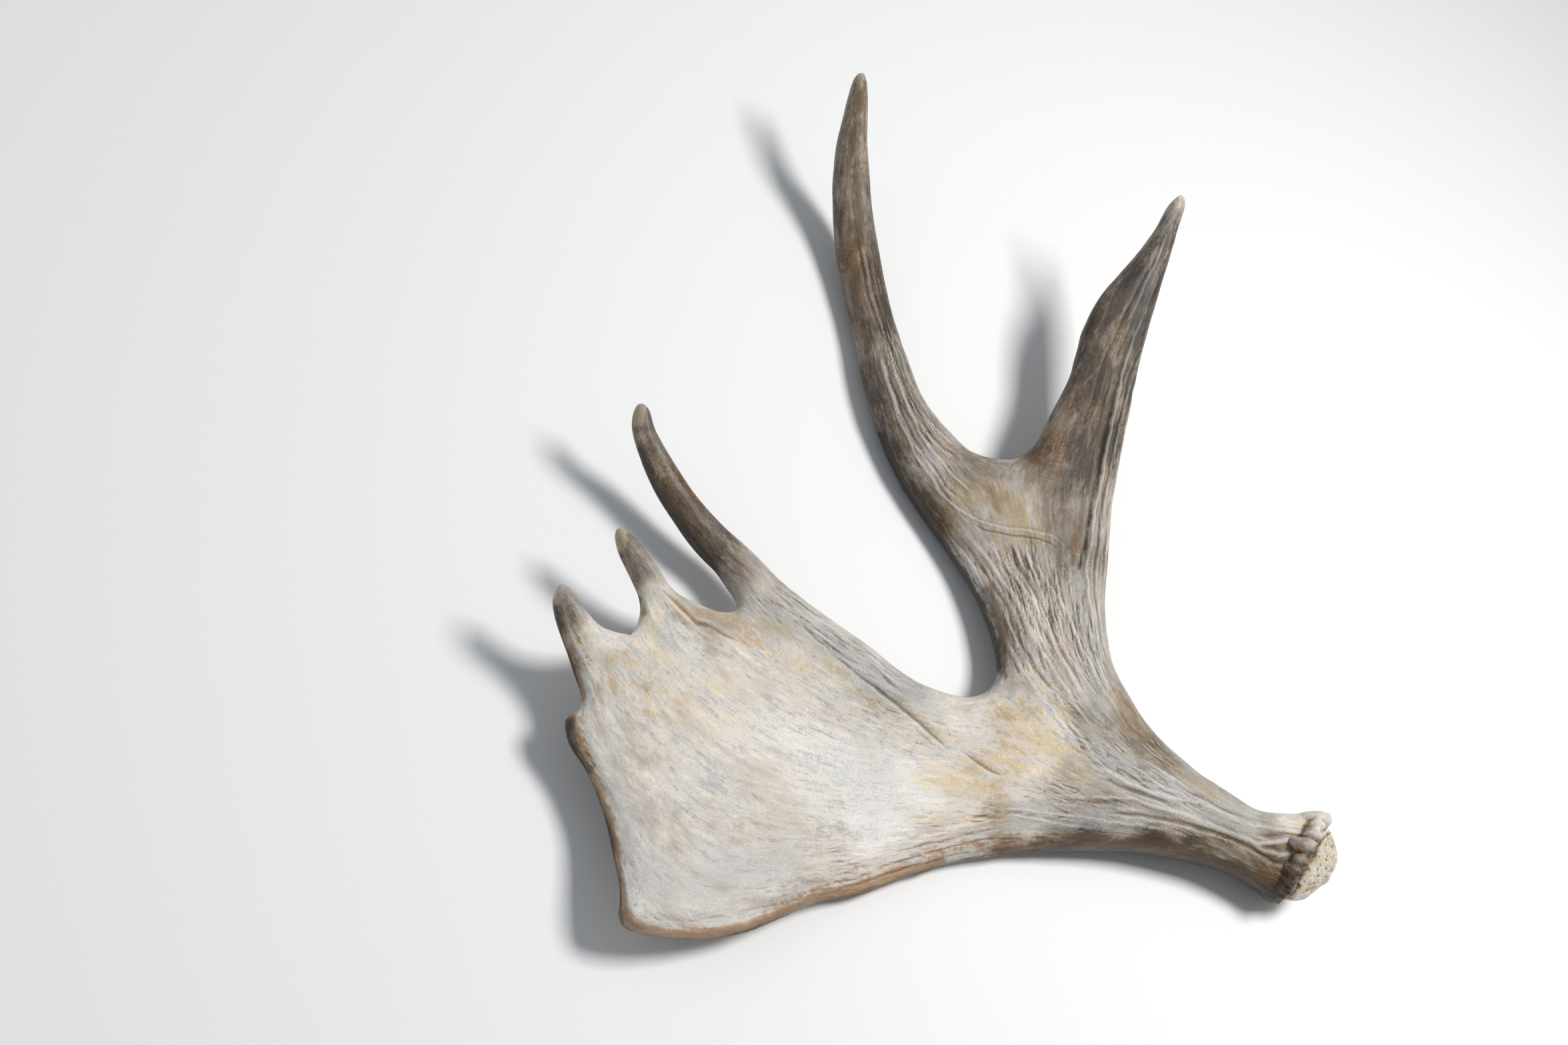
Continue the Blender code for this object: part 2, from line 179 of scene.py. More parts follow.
# How the surface changes over the body: x, y, how furrowed it is, and how dark and brown
FINISH_SOFTNESS = 8.0
SURFACE = (
    # the burr and the beam; the brownest rows, under the beam and at the seal's lower rim, are partly
    # painted shade
    (330, -190, 0.25, 0.1), (330, -214, 0.3, 0.45), (320, -238, 0.3, 1.25), (312, -225, 0.3, 1.0),
    (300, -200, 0.45, 0.35), (296, -212, 0.35, 0.9), (282, -212, 0.3, 0.85), (296, -226, 0.25, 1.02),
    (270, -170, 0.4, 0.42), (262, -186, 0.5, 0.34), (268, -206, 0.25, 0.82), (250, -193, 0.45, 0.42),
    (236, -206, 0.12, 1.08), (195, -204, 0.12, 0.95), (215, -190, 0.45, 0.62), (180, -193, 0.5, 0.6),
    (222, -165, 0.5, 0.48), (236, -150, 0.5, 0.6), (205, -130, 0.45, 0.47), (190, -168, 0.45, 0.36),
    # the fork
    (168, -140, 0.12, 0.08), (150, -165, 0.15, 0.1), (160, -188, 0.5, 0.22),
    # the palm's root and lower edge
    (109, -172, 0.06, 0.0), (140, -200, 0.6, 0.34), (90, -212, 0.5, 0.2), (50, -228, 0.4, 0.14),
    (60, -205, 0.08, 0.06), (0, -240, 0.3, 0.3), (-10, -222, 0.08, 0.08),
    # its dish, outer rim and heel
    (10, -144, 0.05, 0.08), (60, -150, 0.05, 0.0), (-60, -160, 0.08, 0.15), (-40, -215, 0.05, 0.17),
    (-80, -225, 0.05, 0.21), (-120, -160, 0.15, 0.22), (-112, -135, 0.15, 0.25), (-100, -190, 0.15, 0.3),
    (-98, -252, 0.1, 0.0), (-60, -255, 0.1, 0.2),
    # its upper edge, and the dish below that
    (32, -78, 0.4, 0.3), (75, -102, 0.45, 0.36), (0, -52, 0.35, 0.34), (20, -95, 0.2, 0.0),
    (105, -125, 0.2, 0.1), (-30, -90, 0.15, 0.13), (-70, -80, 0.2, 0.1), (-110, -90, 0.2, 0.22),
    # its points and the long palm tine; the rows with no brown between the points also paint light there
    (-112, -68, 0.2, 0.0), (-134, -80, 0.15, 0.22), (-124, -92, 0.15, 0.28), (-142, -54, 0.0, 0.72),
    (-88, -45, 0.2, 0.0), (-102, -22, 0.1, 0.9), (-107, -8, 0.0, 0.85), (-45, -60, 0.2, 0.3),
    (-18, -46, 0.35, 0.12), (-50, -12, 0.2, 1.0), (-71, 21, 0.08, 1.1), (-85, 50, 0.05, 0.9),
    (-93, 70, 0.0, 1.05), (-30, -38, 0.2, 0.6), (-98, -36, 0.1, 0.9),
    # the brow palm
    (171, -63, 0.85, 0.16), (140, -75, 0.5, 0.54), (205, -60, 0.6, 0.42), (170, -100, 0.5, 0.27),
    (160, -25, 0.8, 0.45), (130, -35, 0.6, 0.35), (150, 5, 0.08, 0.34), (142, 22, 0.08, 0.47),
    (125, 15, 0.2, 0.46), (185, 20, 0.15, 0.72), (186, -10, 0.25, 0.9), (206, 5, 0.5, 0.45),
    (138, 30, 0.15, 0.7), (110, 30, 0.6, 0.55),
    # the long brow tine
    (92, 42, 0.75, 0.32), (72, 40, 0.3, 0.86), (95, 8, 0.25, 0.95), (66, 100, 0.6, 0.6),
    (80, 88, 0.6, 0.55), (54, 90, 0.3, 0.9), (41, 150, 0.3, 0.95), (53, 140, 0.4, 0.95),
    (37, 200, 0.1, 0.78), (50, 200, 0.15, 0.76), (40, 250, 0.05, 0.72), (50, 250, 0.05, 0.72),
    (48, 284, 0.0, 0.7),
    # the short brow tine
    (165, 48, 0.2, 1.05), (188, 74, 0.15, 0.84), (214, 72, 0.3, 0.82), (200, 126, 0.15, 0.85),
    (220, 130, 0.25, 0.85), (234, 152, 0.25, 0.95), (243, 182, 0.2, 0.76), (255, 208, 0.0, 0.58),
)

# Where growth came in and where it ended: two places in the outline's own order, and the share of the bone
# that grew out between them
SOURCE = ((313, -246), (350, -187))
ENDS = {
    "short brow tine": ((256, 196), (247, 204), 0.22),
    "long brow tine": ((54, 272), (40, 270), 0.2),
    "long palm tine": ((-84, 66), (-98, 62), 0.14),
    "middle point": ((-97, -8), (-108, -14), 0.19),
    "outer point": ((-134, -46), (-149, -54), 0.18),
    "outer rim": ((-136, -123), (-112, -204), 0.07),
}
GROWTH_WIDTHS = (4.5, 9.5)  # least and most of the whole growth's width, as powers of two in millimetres

# Across each main fork, from the empty space on one side of the limb to that on the other
SAW_CUTS = {
    "main palm": ((118, -104), (123, -228)),
    "long palm tine": ((-38, -52), (-4, -19)),
    "stem of the brow palm": ((130, -90), (219, -85)),
    "long brow tine": ((121, 53), (69, 14)),
    "short brow tine": ((140, 49), (223, 31)),
}
SAW_REACH = 6.0  # to both sides of the cut, where the skin is looked for
CAVITY_FACES = 400  # a hollow shut in between the pearls has fewer, and is dropped

BEND = 0.0035  # how far, in metres, the streaks wander off the growth
BEND_WIDTH = 0.03  # over which they do so

# Each piece of the CAD model and a place in it
PIECES = {
    "burr_and_beam": (240, -175),
    "main_palm": (-20, -160),
    "long_palm_tine": (-75, 25),
    "brow_palm": (170, -30),
    "long_brow_tine": (55, 120),
    "short_brow_tine": (215, 120),
}

# The burr's collar round the end of the beam, and its pearls: angle round the beam in degrees from the
# upper edge over the front, size beside a middling pearl's, and shift along the beam. Those behind are
# nearly even.
BURR_CENTRE = (329, -215)
BURR_AXIS = (0.86, -0.49, 0.12)
BURR_RADIUS = 31.0
BURR_COLLAR = 8.0
FRONT_PEARLS = (
    (0, 1.35, -1), (27, 0.65, 0), (48, 0.8, 0), (66, 1.15, -2), (86, 0.65, 0), (101, 0.9, -1),
    (117, 0.7, 0), (131, 1.0, -2), (146, 0.65, 0), (160, 0.85, -1), (176, 1.1, -1),
)
PEARL_LEAN = 0.55  # outwards from the beam's direction, for each unit along it
BACK_PEARLS = 9
PEARL_SINK = 0.6  # of its radius, into the collar

WAVER = 0.45  # how far drawn creases and stains wander off their straight stretches
CARVED_TAPER = 14.0  # over which a crease rises from nothing at each end
THINNED = 0.4  # of its width, that a crease has at its ends
PATH_REACH = 2.5  # of its half width, past which a path weighs nothing
FRONT_EASE = 2.0  # how sharply, per millimetre, the hollow side ends at the middle of the bone's thickness

# Creases and ridges that are drawn one by one, on the hollow side: height, half width, and the path
CARVED = (
    # the long crease of the palm, and the ridge above it
    (-0.5, 1.2, ((6, -60), (24, -78), (40, -91), (50, -99), (60, -107), (70, -114.5))),
    (-1.0, 1.3, ((52, -100), (60, -107), (70, -114.5), (80, -122.5), (90, -130.5), (98, -138), (106, -147))),
    (0.8, 2.8, ((44, -88), (54, -97), (64, -105), (74, -112), (84, -120), (94, -128), (103, -137),
                (112, -146))),
    (-0.4, 1.3, ((78, -126), (88, -135), (98, -144), (108, -152))),
    (-0.9, 1.3, ((112, -146), (119, -151), (127, -156), (134, -160), (144, -163))),
    (0.6, 2.6, ((112, -140), (122, -148), (131, -153), (139, -157), (152, -160))),
    (-0.7, 1.0, ((54, -82), (62, -90), (70, -97), (80, -104))),
    (-0.5, 1.0, ((48, -84), (58, -93), (67, -102), (78, -111))),
    (0.5, 1.6, ((50, -86), (62, -96), (73, -105), (86, -113))),
    (0.4, 1.4, ((4, -58), (20, -70), (36, -80), (52, -92))),
    (-0.4, 0.9, ((-8, -38), (12, -53), (34, -68), (56, -84), (76, -98))),
    (-0.4, 0.9, ((-14, -46), (8, -60), (30, -75), (50, -90))),
    (0.3, 0.8, ((10, -84), (22, -93), (38, -107))),
    (0.3, 0.8, ((4, -98), (16, -107), (30, -117))),
    (0.3, 0.8, ((60, -126), (78, -138), (94, -150))),
    # by the points
    (-1.0, 1.6, ((-80, -42), (-70, -50), (-62, -58), (-56, -64), (-47, -66), (-39, -71), (-28, -77))),
    (0.6, 2.2, ((-74, -50), (-64, -61), (-52, -71), (-38, -77))),
    (0.6, 1.6, ((-100, -20), (-95, -38), (-88, -55), (-78, -72), (-66, -88))),
    (0.5, 1.6, ((-141, -60), (-133, -82), (-124, -98), (-112, -112))),
    # the rims of the palm: a bead along the edge and a soft channel inside it
    (0.8, 1.7, ((-129, -118), (-133, -126), (-136, -138), (-131, -149), (-124, -161), (-117, -175),
                (-111, -191), (-107, -208), (-102, -231), (-101, -250))),
    (-0.5, 2.8, ((-127, -130), (-129, -142), (-124, -153), (-117, -166), (-110, -180), (-104, -195),
                 (-100, -212), (-95, -234))),
    (0.9, 2.6, ((-102, -248), (-100, -254), (-92, -260), (-75, -263.5), (-50, -263.5), (-26, -259.5),
                (-3, -250), (20, -241), (50, -236), (75, -227), (104, -217))),
    (-0.6, 3.0, ((-94, -252), (-80, -255), (-50, -255), (-22, -250), (0, -241))),
    (-0.7, 0.9, ((2, -244), (20, -240.5), (40, -236))),
    (-0.6, 0.9, ((34, -235), (52, -230.5), (71, -224.5), (92, -217))),
    (-0.5, 0.8, ((84, -221.5), (104, -215), (130, -210))),
    (0.4, 1.0, ((8, -240), (24, -236.5), (44, -232.5))),
    (0.4, 1.0, ((40, -231), (60, -227), (80, -219.5), (104, -211))),
    (-0.6, 0.8, ((22, -235), (38, -231), (58, -225.5))),
    (-0.5, 0.8, ((52, -224), (74, -218), (98, -210.5), (128, -204), (156, -203))),
    (0.3, 0.9, ((30, -229), (56, -223), (80, -214.5))),
    (-0.4, 0.8, ((70, -213), (90, -207), (116, -201), (144, -195))),
    # the brow palm: the ridge across its web, and the ridges of its left side
    (0.6, 1.1, ((62, 112), (65, 94), (70, 78), (76, 62), (83, 49), (92, 33), (100, 20), (112, 8))),
    (0.5, 1.0, ((100, 20), (112, 8), (125, 1), (140, -3), (152, -4), (162, -6), (172, -9), (180, -15),
                (186, -24))),
    (-0.7, 0.9, ((118, 0), (130, -5), (142, -7), (153, -8), (164, -10), (172, -14), (178, -20))),
    (0.7, 1.1, ((68, 112), (72, 93), (79, 75), (87, 59), (97, 44), (108, 30), (122, 18))),
    (-0.7, 1.0, ((65, 108), (69, 90), (75, 73), (83, 56), (92, 42), (104, 25), (118, 12))),
    (0.6, 1.1, ((74, 112), (79, 95), (87, 78), (95, 64), (105, 53), (117, 44))),
    (-0.6, 1.0, ((71, 110), (76, 92), (84, 75), (93, 60), (103, 48), (116, 38))),
    # its right edge
    (0.7, 1.1, ((226, 120), (218, 96), (212, 70), (207, 44), (202, 18), (198, -6), (195, -28), (196, -50),
                (200, -72))),
    (-0.7, 0.9, ((230, 112), (222, 94), (216, 68), (211, 44), (206, 20), (203, -2), (200, -24), (200, -46),
                 (203, -70), (208, -90))),
    (-0.6, 0.8, ((226, 96), (220, 66), (214.5, 36), (209.5, 10), (206, -16), (205, -40))),
    (0.5, 0.8, ((229, 104), (222.5, 76), (216.5, 46), (211.5, 20), (207.5, -6), (206, -30))),
    (-0.9, 1.8, ((214, 92), (208, 66), (203, 40), (198, 14), (194, -8), (190, -30))),
    # the furrows of its tines
    (-0.4, 0.9, ((190, 56), (197, 76), (206, 104), (217, 130), (230, 154), (243, 180))),
    (-0.3, 0.8, ((200, 58), (206, 80), (215, 108), (226, 134), (238, 160), (248, 188))),
    (0.25, 1.0, ((194, 52), (201, 76), (210, 104), (221, 130), (234, 156), (246, 184))),
    (0.3, 1.0, ((210, 64), (215, 86), (222, 110), (231, 134), (242, 160), (250, 186))),
    (-0.5, 0.9, ((64, 116), (56, 140), (50, 166), (46, 190))),
    (-0.4, 0.9, ((70, 108), (62, 132), (56, 158), (51, 184))),
    (0.4, 1.0, ((67, 112), (59, 136), (53, 162), (48.5, 188))),
    # long ridges down its stem
    (0.7, 1.5, ((106, -8), (122, -30), (134, -52), (142, -74), (152, -94), (168, -116), (188, -140))),
    (0.8, 1.6, ((116, -6), (134, -28), (149, -50), (159, -72), (171, -92), (184, -112), (200, -134))),
    (0.6, 1.4, ((128, -10), (148, -33), (162, -55), (174, -80), (186, -102), (202, -124))),
    (-0.7, 1.3, ((112, -8), (128, -30), (142, -52), (151, -73), (162, -94), (178, -116))),
    (0.6, 1.5, ((150, -14), (168, -36), (182, -58), (192, -82), (204, -106), (222, -132))),
    (-0.8, 1.6, ((140, -12), (156, -34), (168, -58), (180, -84), (194, -110))),
    # the beam: its long veins, and the fingers that end in the burr's pearls
    (0.9, 1.8, ((190, -146), (199, -157), (211, -162), (221, -168), (231, -172), (246, -176), (266, -181))),
    (-0.8, 1.4, ((196, -162), (210, -166), (222, -172), (234, -176), (252, -180))),
    (0.7, 1.8, ((172, -176), (200, -176), (225, -178), (246, -184), (264, -191), (282, -197), (296, -203),
                (306, -206), (316, -206), (326, -204), (336, -207))),
    (1.0, 2.0, ((258, -192), (276, -197), (290, -202), (301, -206), (309, -211), (318, -214), (328, -213),
                (337, -215))),
    (-1.0, 1.5, ((206, -187), (232, -188), (252, -192), (272, -198), (288, -203), (300, -208), (308, -214),
                 (316, -219), (330, -219))),
    (-0.9, 1.6, ((300, -199), (310, -201), (322, -200), (334, -203))),
    (1.3, 3.0, ((302, -205), (312, -206), (322, -205), (331, -205), (338, -208))),
    (0.6, 1.8, ((236, -166), (262, -178), (282, -187), (302, -195), (322, -198))),
    (-0.5, 1.6, ((230, -158), (254, -170), (276, -181), (298, -190), (318, -194))),
    (1.2, 4.0, ((306, -187), (322, -189), (336, -189), (350, -188))),
    (0.5, 1.8, ((180, -186), (210, -193), (240, -196), (266, -203), (290, -214), (308, -226))),
    (0.5, 0.8, ((128, -186), (150, -189), (172, -193), (196, -196))),
    (0.4, 0.8, ((120, -182), (146, -184), (170, -187), (190, -189))),
    (0.9, 1.6, ((180, -120), (186, -132), (193, -142), (199, -151), (206, -158))),
    # scratches and pits
    (0.7, 1.6, ((-104, -155), (-99, -166), (-94, -176))),
    (0.6, 1.4, ((-99, -151), (-94, -162), (-89, -172))),
    (0.5, 1.3, ((-112, -140), (-107, -152), (-103, -162))),
    (-1.0, 1.3, ((-22, -172), (-14, -181))),
    (-1.0, 1.1, ((32, -123), (38, -130))),
    (-0.8, 1.1, ((-26, -97), (-20, -103))),
)


def resampled(points, step):
    """Points joined by straight lines and spaced evenly along them."""
    length = np.concatenate([[0], np.cumsum(np.linalg.norm(np.diff(points, axis=0), axis=1))])
    stations = np.linspace(0, length[-1], max(int(length[-1] / step), 2), endpoint=False)
    return np.stack([np.interp(stations, length, points[:, axis]) for axis in (0, 1)], axis=1)


def smooth_outline():
    """The outline's points joined by a smooth closed curve and spaced evenly along it."""
    points = np.array([p for stretch in OUTLINE.values() for p in stretch], float)
    before, after, beyond = (np.roll(points, shift, axis=0) for shift in (1, -1, -2))
    t = np.linspace(0, 1, CURVE_SAMPLES, endpoint=False)[None, :, None]
    points, before, after, beyond = (p[:, None, :] for p in (points, before, after, beyond))
    curve = 0.5 * (
        2 * points
        + (after - before) * t
        + (2 * before - 5 * points + 4 * after - beyond) * t**2
        + (3 * points - before - 3 * after + beyond) * t**3
    ).reshape(-1, 2)
    return resampled(np.vstack([curve, curve[:1]]), EDGE_STEP)


def distance_to(ring, points):
    """How far each point is from the nearest point of the ring."""
    return np.concatenate([
        np.linalg.norm(part[:, None] - ring[None], axis=2).min(axis=1)
        for part in np.array_split(points, len(points) // BATCH + 1)
    ])


def ring_inset(ring, inset):
    """The ring moved inwards, without the points that come too near another stretch of it."""
    along = np.roll(ring, -1, axis=0) - np.roll(ring, 1, axis=0)
    along /= np.linalg.norm(along, axis=1)[:, None]
    area = 0.5 * np.sum(ring[:, 0] * np.roll(ring[:, 1], -1) - ring[:, 1] * np.roll(ring[:, 0], -1))
    inward = np.stack([-along[:, 1], along[:, 0]], axis=1) * np.sign(area)
    moved = ring + inward * inset
    return moved[distance_to(ring, moved) > INSET_KEPT * inset]


def fill_outline(ring):
    """A flat triangulated sheet: its points, the ring first, and its triangles."""
    low, high = ring.min(axis=0), ring.max(axis=0)
    rows = np.arange(low[1], high[1], SHEET_STEP * ROW_SHARE)
    columns = np.arange(low[0], high[0], SHEET_STEP)
    shift = (np.arange(len(rows)) % 2)[:, None] * SHEET_STEP / 2
    grid = np.stack([columns[None] + shift, rows[:, None] + 0 * columns[None]], axis=2).reshape(-1, 2)
    grid = grid[distance_to(ring, grid) > EDGE_CLEARANCE * SHEET_STEP]
    points = [Vector(p) for p in np.vstack([ring, ring_inset(ring, EDGE_INSET), grid])]
    found = delaunay_2d_cdt(points, [], [list(range(len(ring)))], INSIDE_ONLY, 1e-5)
    used, triangles = np.unique(np.array(found[2]), return_inverse=True)
    return np.array(found[0])[used], triangles.reshape(-1, 3)


class Membrane:
    """The sheet as a stretched skin, on which smooth quantities are worked out."""

    def __init__(self, points, triangles):
        self.count = len(points)
        corners = points[triangles]
        sides = [corners[:, (k + 2) % 3] - corners[:, (k + 1) % 3] for k in range(3)]
        twice_area = np.abs(sides[0][:, 0] * sides[1][:, 1] - sides[0][:, 1] * sides[1][:, 0])
        self.starts, self.ends, self.pulls = [], [], []
        for k in range(3):
            pull = -np.sum(sides[(k + 1) % 3] * sides[(k + 2) % 3], axis=1) / (2 * twice_area)
            self.starts.append(triangles[:, (k + 1) % 3])
            self.ends.append(triangles[:, (k + 2) % 3])
            self.pulls.append(pull)
        self.starts, self.ends, self.pulls = map(np.concatenate, (self.starts, self.ends, self.pulls))
        self.area = np.bincount(triangles.ravel(), np.repeat(twice_area / 6, 3), self.count)

    def tension(self, values):
        """How hard the skin pulls each point back towards its neighbours."""
        pull = self.pulls * (values[self.starts] - values[self.ends])
        return np.bincount(self.starts, pull, self.count) - np.bincount(self.ends, pull, self.count)

    def solve(self, load, stiffness=0.0, free=1.0, start=None):
        """The skin's shape under a load, held by a bed of springs and fixed where it isn't free."""
        bed = stiffness * self.area
        diagonal = np.bincount(self.starts, self.pulls, self.count)
        diagonal += np.bincount(self.ends, self.pulls, self.count) + bed
        shape = np.zeros(self.count) if start is None else start.copy()
        rest = (load - self.tension(shape) - bed * shape) * free
        step = rest / diagonal
        gain = rest @ step
        limit = gain * CALM
        while gain > limit:
            answer = (self.tension(step) + bed * step) * free
            size = gain / (step @ answer)
            shape += size * step
            rest -= size * answer
            eased = rest / diagonal
            new_gain = rest @ eased
            step = eased + new_gain / gain * step
            gain = new_gain
        return shape

    def eased(self, values, width):
        """Values given at the points, blurred over a width."""
        return self.solve(values * self.area / width**2, width**-2)


def leaning_plane(points):
    """The depth of the plane that the antler lies along."""
    turn, lean = np.tan(np.radians((PLANE_TURN_DEG, PLANE_LEAN_DEG)))
    return -turn * points[:, 0] - lean * points[:, 1]


def spread(table, column, points, softness):
    """One of a table's stated quantities, spread smoothly over the points."""
    places = np.array(table, float)
    offset = np.linalg.norm(points[:, None] - places[None, :, :2], axis=2)
    weight = 1 / (offset**2 + softness**2) ** 2
    return weight @ places[:, column] / weight.sum(axis=1)


def growth_through_outline(ring):
    """How much of the bone grew past each point of the outline, counted round from the burr's lower side."""
    length = np.concatenate([[0], np.cumsum(np.linalg.norm(np.diff(ring, axis=0), axis=1))])
    whole = length[-1] + np.linalg.norm(ring[0] - ring[-1])

    def station(place):
        return length[np.linalg.norm(ring - place, axis=1).argmin()]

    first = station(SOURCE[0])
    past = (length - first) % whole
    through = np.zeros(len(ring))
    for start, end, share in (*ENDS.values(), (*SOURCE, -1.0)):
        begins, stops = ((station(place) - first) % whole for place in (start, end))
        through += share * np.clip((past - begins) / (stops - begins), 0, 1)
    return through


class Sheet:
    """The drawn antler: its outline filled, with depth, thickness and the way of growth at every point."""

    def __init__(self):
        ring = smooth_outline()
        self.rim = len(ring)
        self.flat, self.triangles = fill_outline(ring)
        self.membrane = Membrane(self.flat, self.triangles)
        self.inside = (np.arange(len(self.flat)) >= self.rim).astype(float)
        places = list(BODY.values())
        wanted = leaning_plane(self.flat) + spread(places, 2, self.flat, SOFTNESS)
        self.depth = self.membrane.eased(wanted, SECTION_WIDTH)
        limit = spread(places, 3, self.flat, SOFTNESS)
        bulge = self.membrane.solve(self.membrane.area, 2 / limit**2, self.inside)
        self.thickness = np.sqrt(2 * np.maximum(bulge, 0))
        self.growth = self.grown(growth_through_outline(ring))
        self.look = np.column_stack([spread(SURFACE, k, self.flat, FINISH_SOFTNESS) for k in (2, 3)])
        self.tree = BVHTree.FromPolygons(
            np.column_stack([self.flat, 0 * self.depth]).tolist(), self.triangles.tolist()
        )

    def grown(self, through):
        """Across the growth, along it, and the width of the whole growth as a power of two."""
        start = np.concatenate([through, np.full(len(self.flat) - self.rim, through.mean())])
        across = self.membrane.solve(0.0, free=self.inside, start=start)
        corners = across[self.triangles]
        turned = np.zeros(len(self.flat))
        for k in range(3):
            push = (corners[:, (k + 2) % 3] - corners[:, (k + 1) % 3]) / 2
            turned += np.bincount(self.triangles[:, k], push, len(self.flat))
        along = self.membrane.solve(turned)
        steepness = np.sqrt(self.steepness(across))
        width = np.clip(-np.log2(np.maximum(steepness, 1e-9)), *GROWTH_WIDTHS)
        return np.column_stack([across, along, self.membrane.eased(width, WIDTH_SOFTNESS)])

    def steepness(self, values):
        """The square of how fast values change over the sheet, at each point."""
        corners = self.flat[self.triangles]
        first, second = corners[:, 1] - corners[:, 0], corners[:, 2] - corners[:, 0]
        rise = values[self.triangles[:, 1:]] - values[self.triangles[:, :1]]
        twice_area = first[:, 0] * second[:, 1] - first[:, 1] * second[:, 0]
        slope = (rise[:, :1] * second[:, ::-1] - rise[:, 1:] * first[:, ::-1]) / twice_area[:, None]
        weight = np.repeat(np.abs(twice_area), 3)
        square = np.repeat((slope**2).sum(axis=1), 3)
        total = np.bincount(self.triangles.ravel(), weight * square, len(self.flat))
        return total / np.bincount(self.triangles.ravel(), weight, len(self.flat))

    def found(self, points):
        """Depth, growth across, along and in width, furrows and brownness at points of the drawing."""
        hits = [self.tree.find_nearest((x, y, 0.0)) for x, y in points]
        places = np.array([hit[0][:2] for hit in hits])
        corners = self.triangles[[hit[2] for hit in hits]]
        first, second, third = (self.flat[corners[:, k]] for k in range(3))

        def twice_area(a, b, c):
            return (b - a)[:, 0] * (c - a)[:, 1] - (b - a)[:, 1] * (c - a)[:, 0]

        whole = twice_area(first, second, third)
        shares = (
            twice_area(places, second, third) / whole,
            twice_area(first, places, third) / whole,
            twice_area(first, second, places) / whole,
        )
        columns = np.column_stack([self.depth, self.growth, self.look])
        return sum(share[:, None] * columns[corners[:, k]] for k, share in enumerate(shares)).T


def in_space(flat, depth):
    """Drawn points at their real places: what is nearer the viewer is smaller than it looks."""
    return np.column_stack([flat * (1 - depth / VIEW_DISTANCE)[:, None], depth])


def as_drawn(points):
    """Where the viewer sees real places in the drawing."""
    return points[:, :2] / (1 - points[:, 2] / VIEW_DISTANCE)[:, None]


def resting_place():
    """Takes the drawing, in millimetres, to where the antler lies, in metres."""
    up = Vector(UP_WHEN_LYING).normalized()
    right = (Vector((1, 0, 0)) - up * up.x).normalized()
    turn = Matrix((right, up.cross(right), up)).to_4x4()
    return Matrix.Scale(MM, 4) @ turn @ Matrix.Translation(-Vector(ORIGIN))


def wavered(points):
    """Points moved a little by long and short waves, so that what is drawn with straight lines wavers."""
    x, y = points.T
    return points + WAVER * np.column_stack([
        np.sin(y / 7.3 + np.sin(x / 6.3)) + 0.3 * np.sin(y / 2.3 + x / 9.0),
        np.sin(x / 7.9 + np.sin(y / 5.2) + 2.0) + 0.3 * np.sin(x / 2.5 + y / 8.0),
    ])


def path_weight(points, path, width, taper=0.0):
    """1 on a path and less away from it, to nearly nothing at twice the width.

    With a taper, the path rises from nothing and thins out to nothing over that length at its ends.
    """
    weight = np.zeros(len(points))
    path = np.array(path, float)
    reach = PATH_REACH * width
    low, high = path.min(axis=0) - reach, path.max(axis=0) + reach
    near = np.flatnonzero(((points > low) & (points < high)).all(axis=1))
    spots = points[near]
    distance, station, past = np.full(len(near), np.inf), np.zeros(len(near)), 0.0
    for start, end in zip(path, path[1:]):
        along = end - start
        length = np.linalg.norm(along)
        share = np.clip((spots - start) @ along / length**2, 0, 1)
        away = np.linalg.norm(spots - start - share[:, None] * along, axis=1)
        station = np.where(away < distance, past + share * length, station)
        distance = np.minimum(distance, away)
        past += length
    fade = np.clip(np.minimum(station, past - station) / taper, 0, 1) if taper else 1.0
    weight[near] = fade * np.exp(-((distance / (width * (THINNED + (1 - THINNED) * fade))) ** 2))
    return weight


class Wire:
    """A socket that gives a value. Python's arithmetic on it adds Math nodes."""

    def __init__(self, board, socket):
        self.board, self.socket = board, socket

    def math(self, operation, *values):
        return self.board.math(operation, self, *values)

    def __add__(self, other):
        return self.math("ADD", other)

    def __radd__(self, other):
        return self.math("ADD", other)

    def __sub__(self, other):
        return self.math("SUBTRACT", other)

    def __rsub__(self, other):
        return self.board.math("SUBTRACT", other, self)

    def __mul__(self, other):
        return self.math("MULTIPLY", other)

    def __rmul__(self, other):
        return self.math("MULTIPLY", other)

    def __truediv__(self, other):
        return self.math("DIVIDE", other)

    def __rtruediv__(self, other):
        return self.board.math("DIVIDE", other, self)

    def __abs__(self):
        return self.math("ABSOLUTE")

    def between(self, low, high):
        """0 below low and 1 above high, with an eased step from one to the other."""
        settings = {"interpolation_type": "SMOOTHSTEP"}
        inputs = {"Value": self, "From Min": low, "From Max": high}
        return self.board.node("ShaderNodeMapRange", settings, inputs)


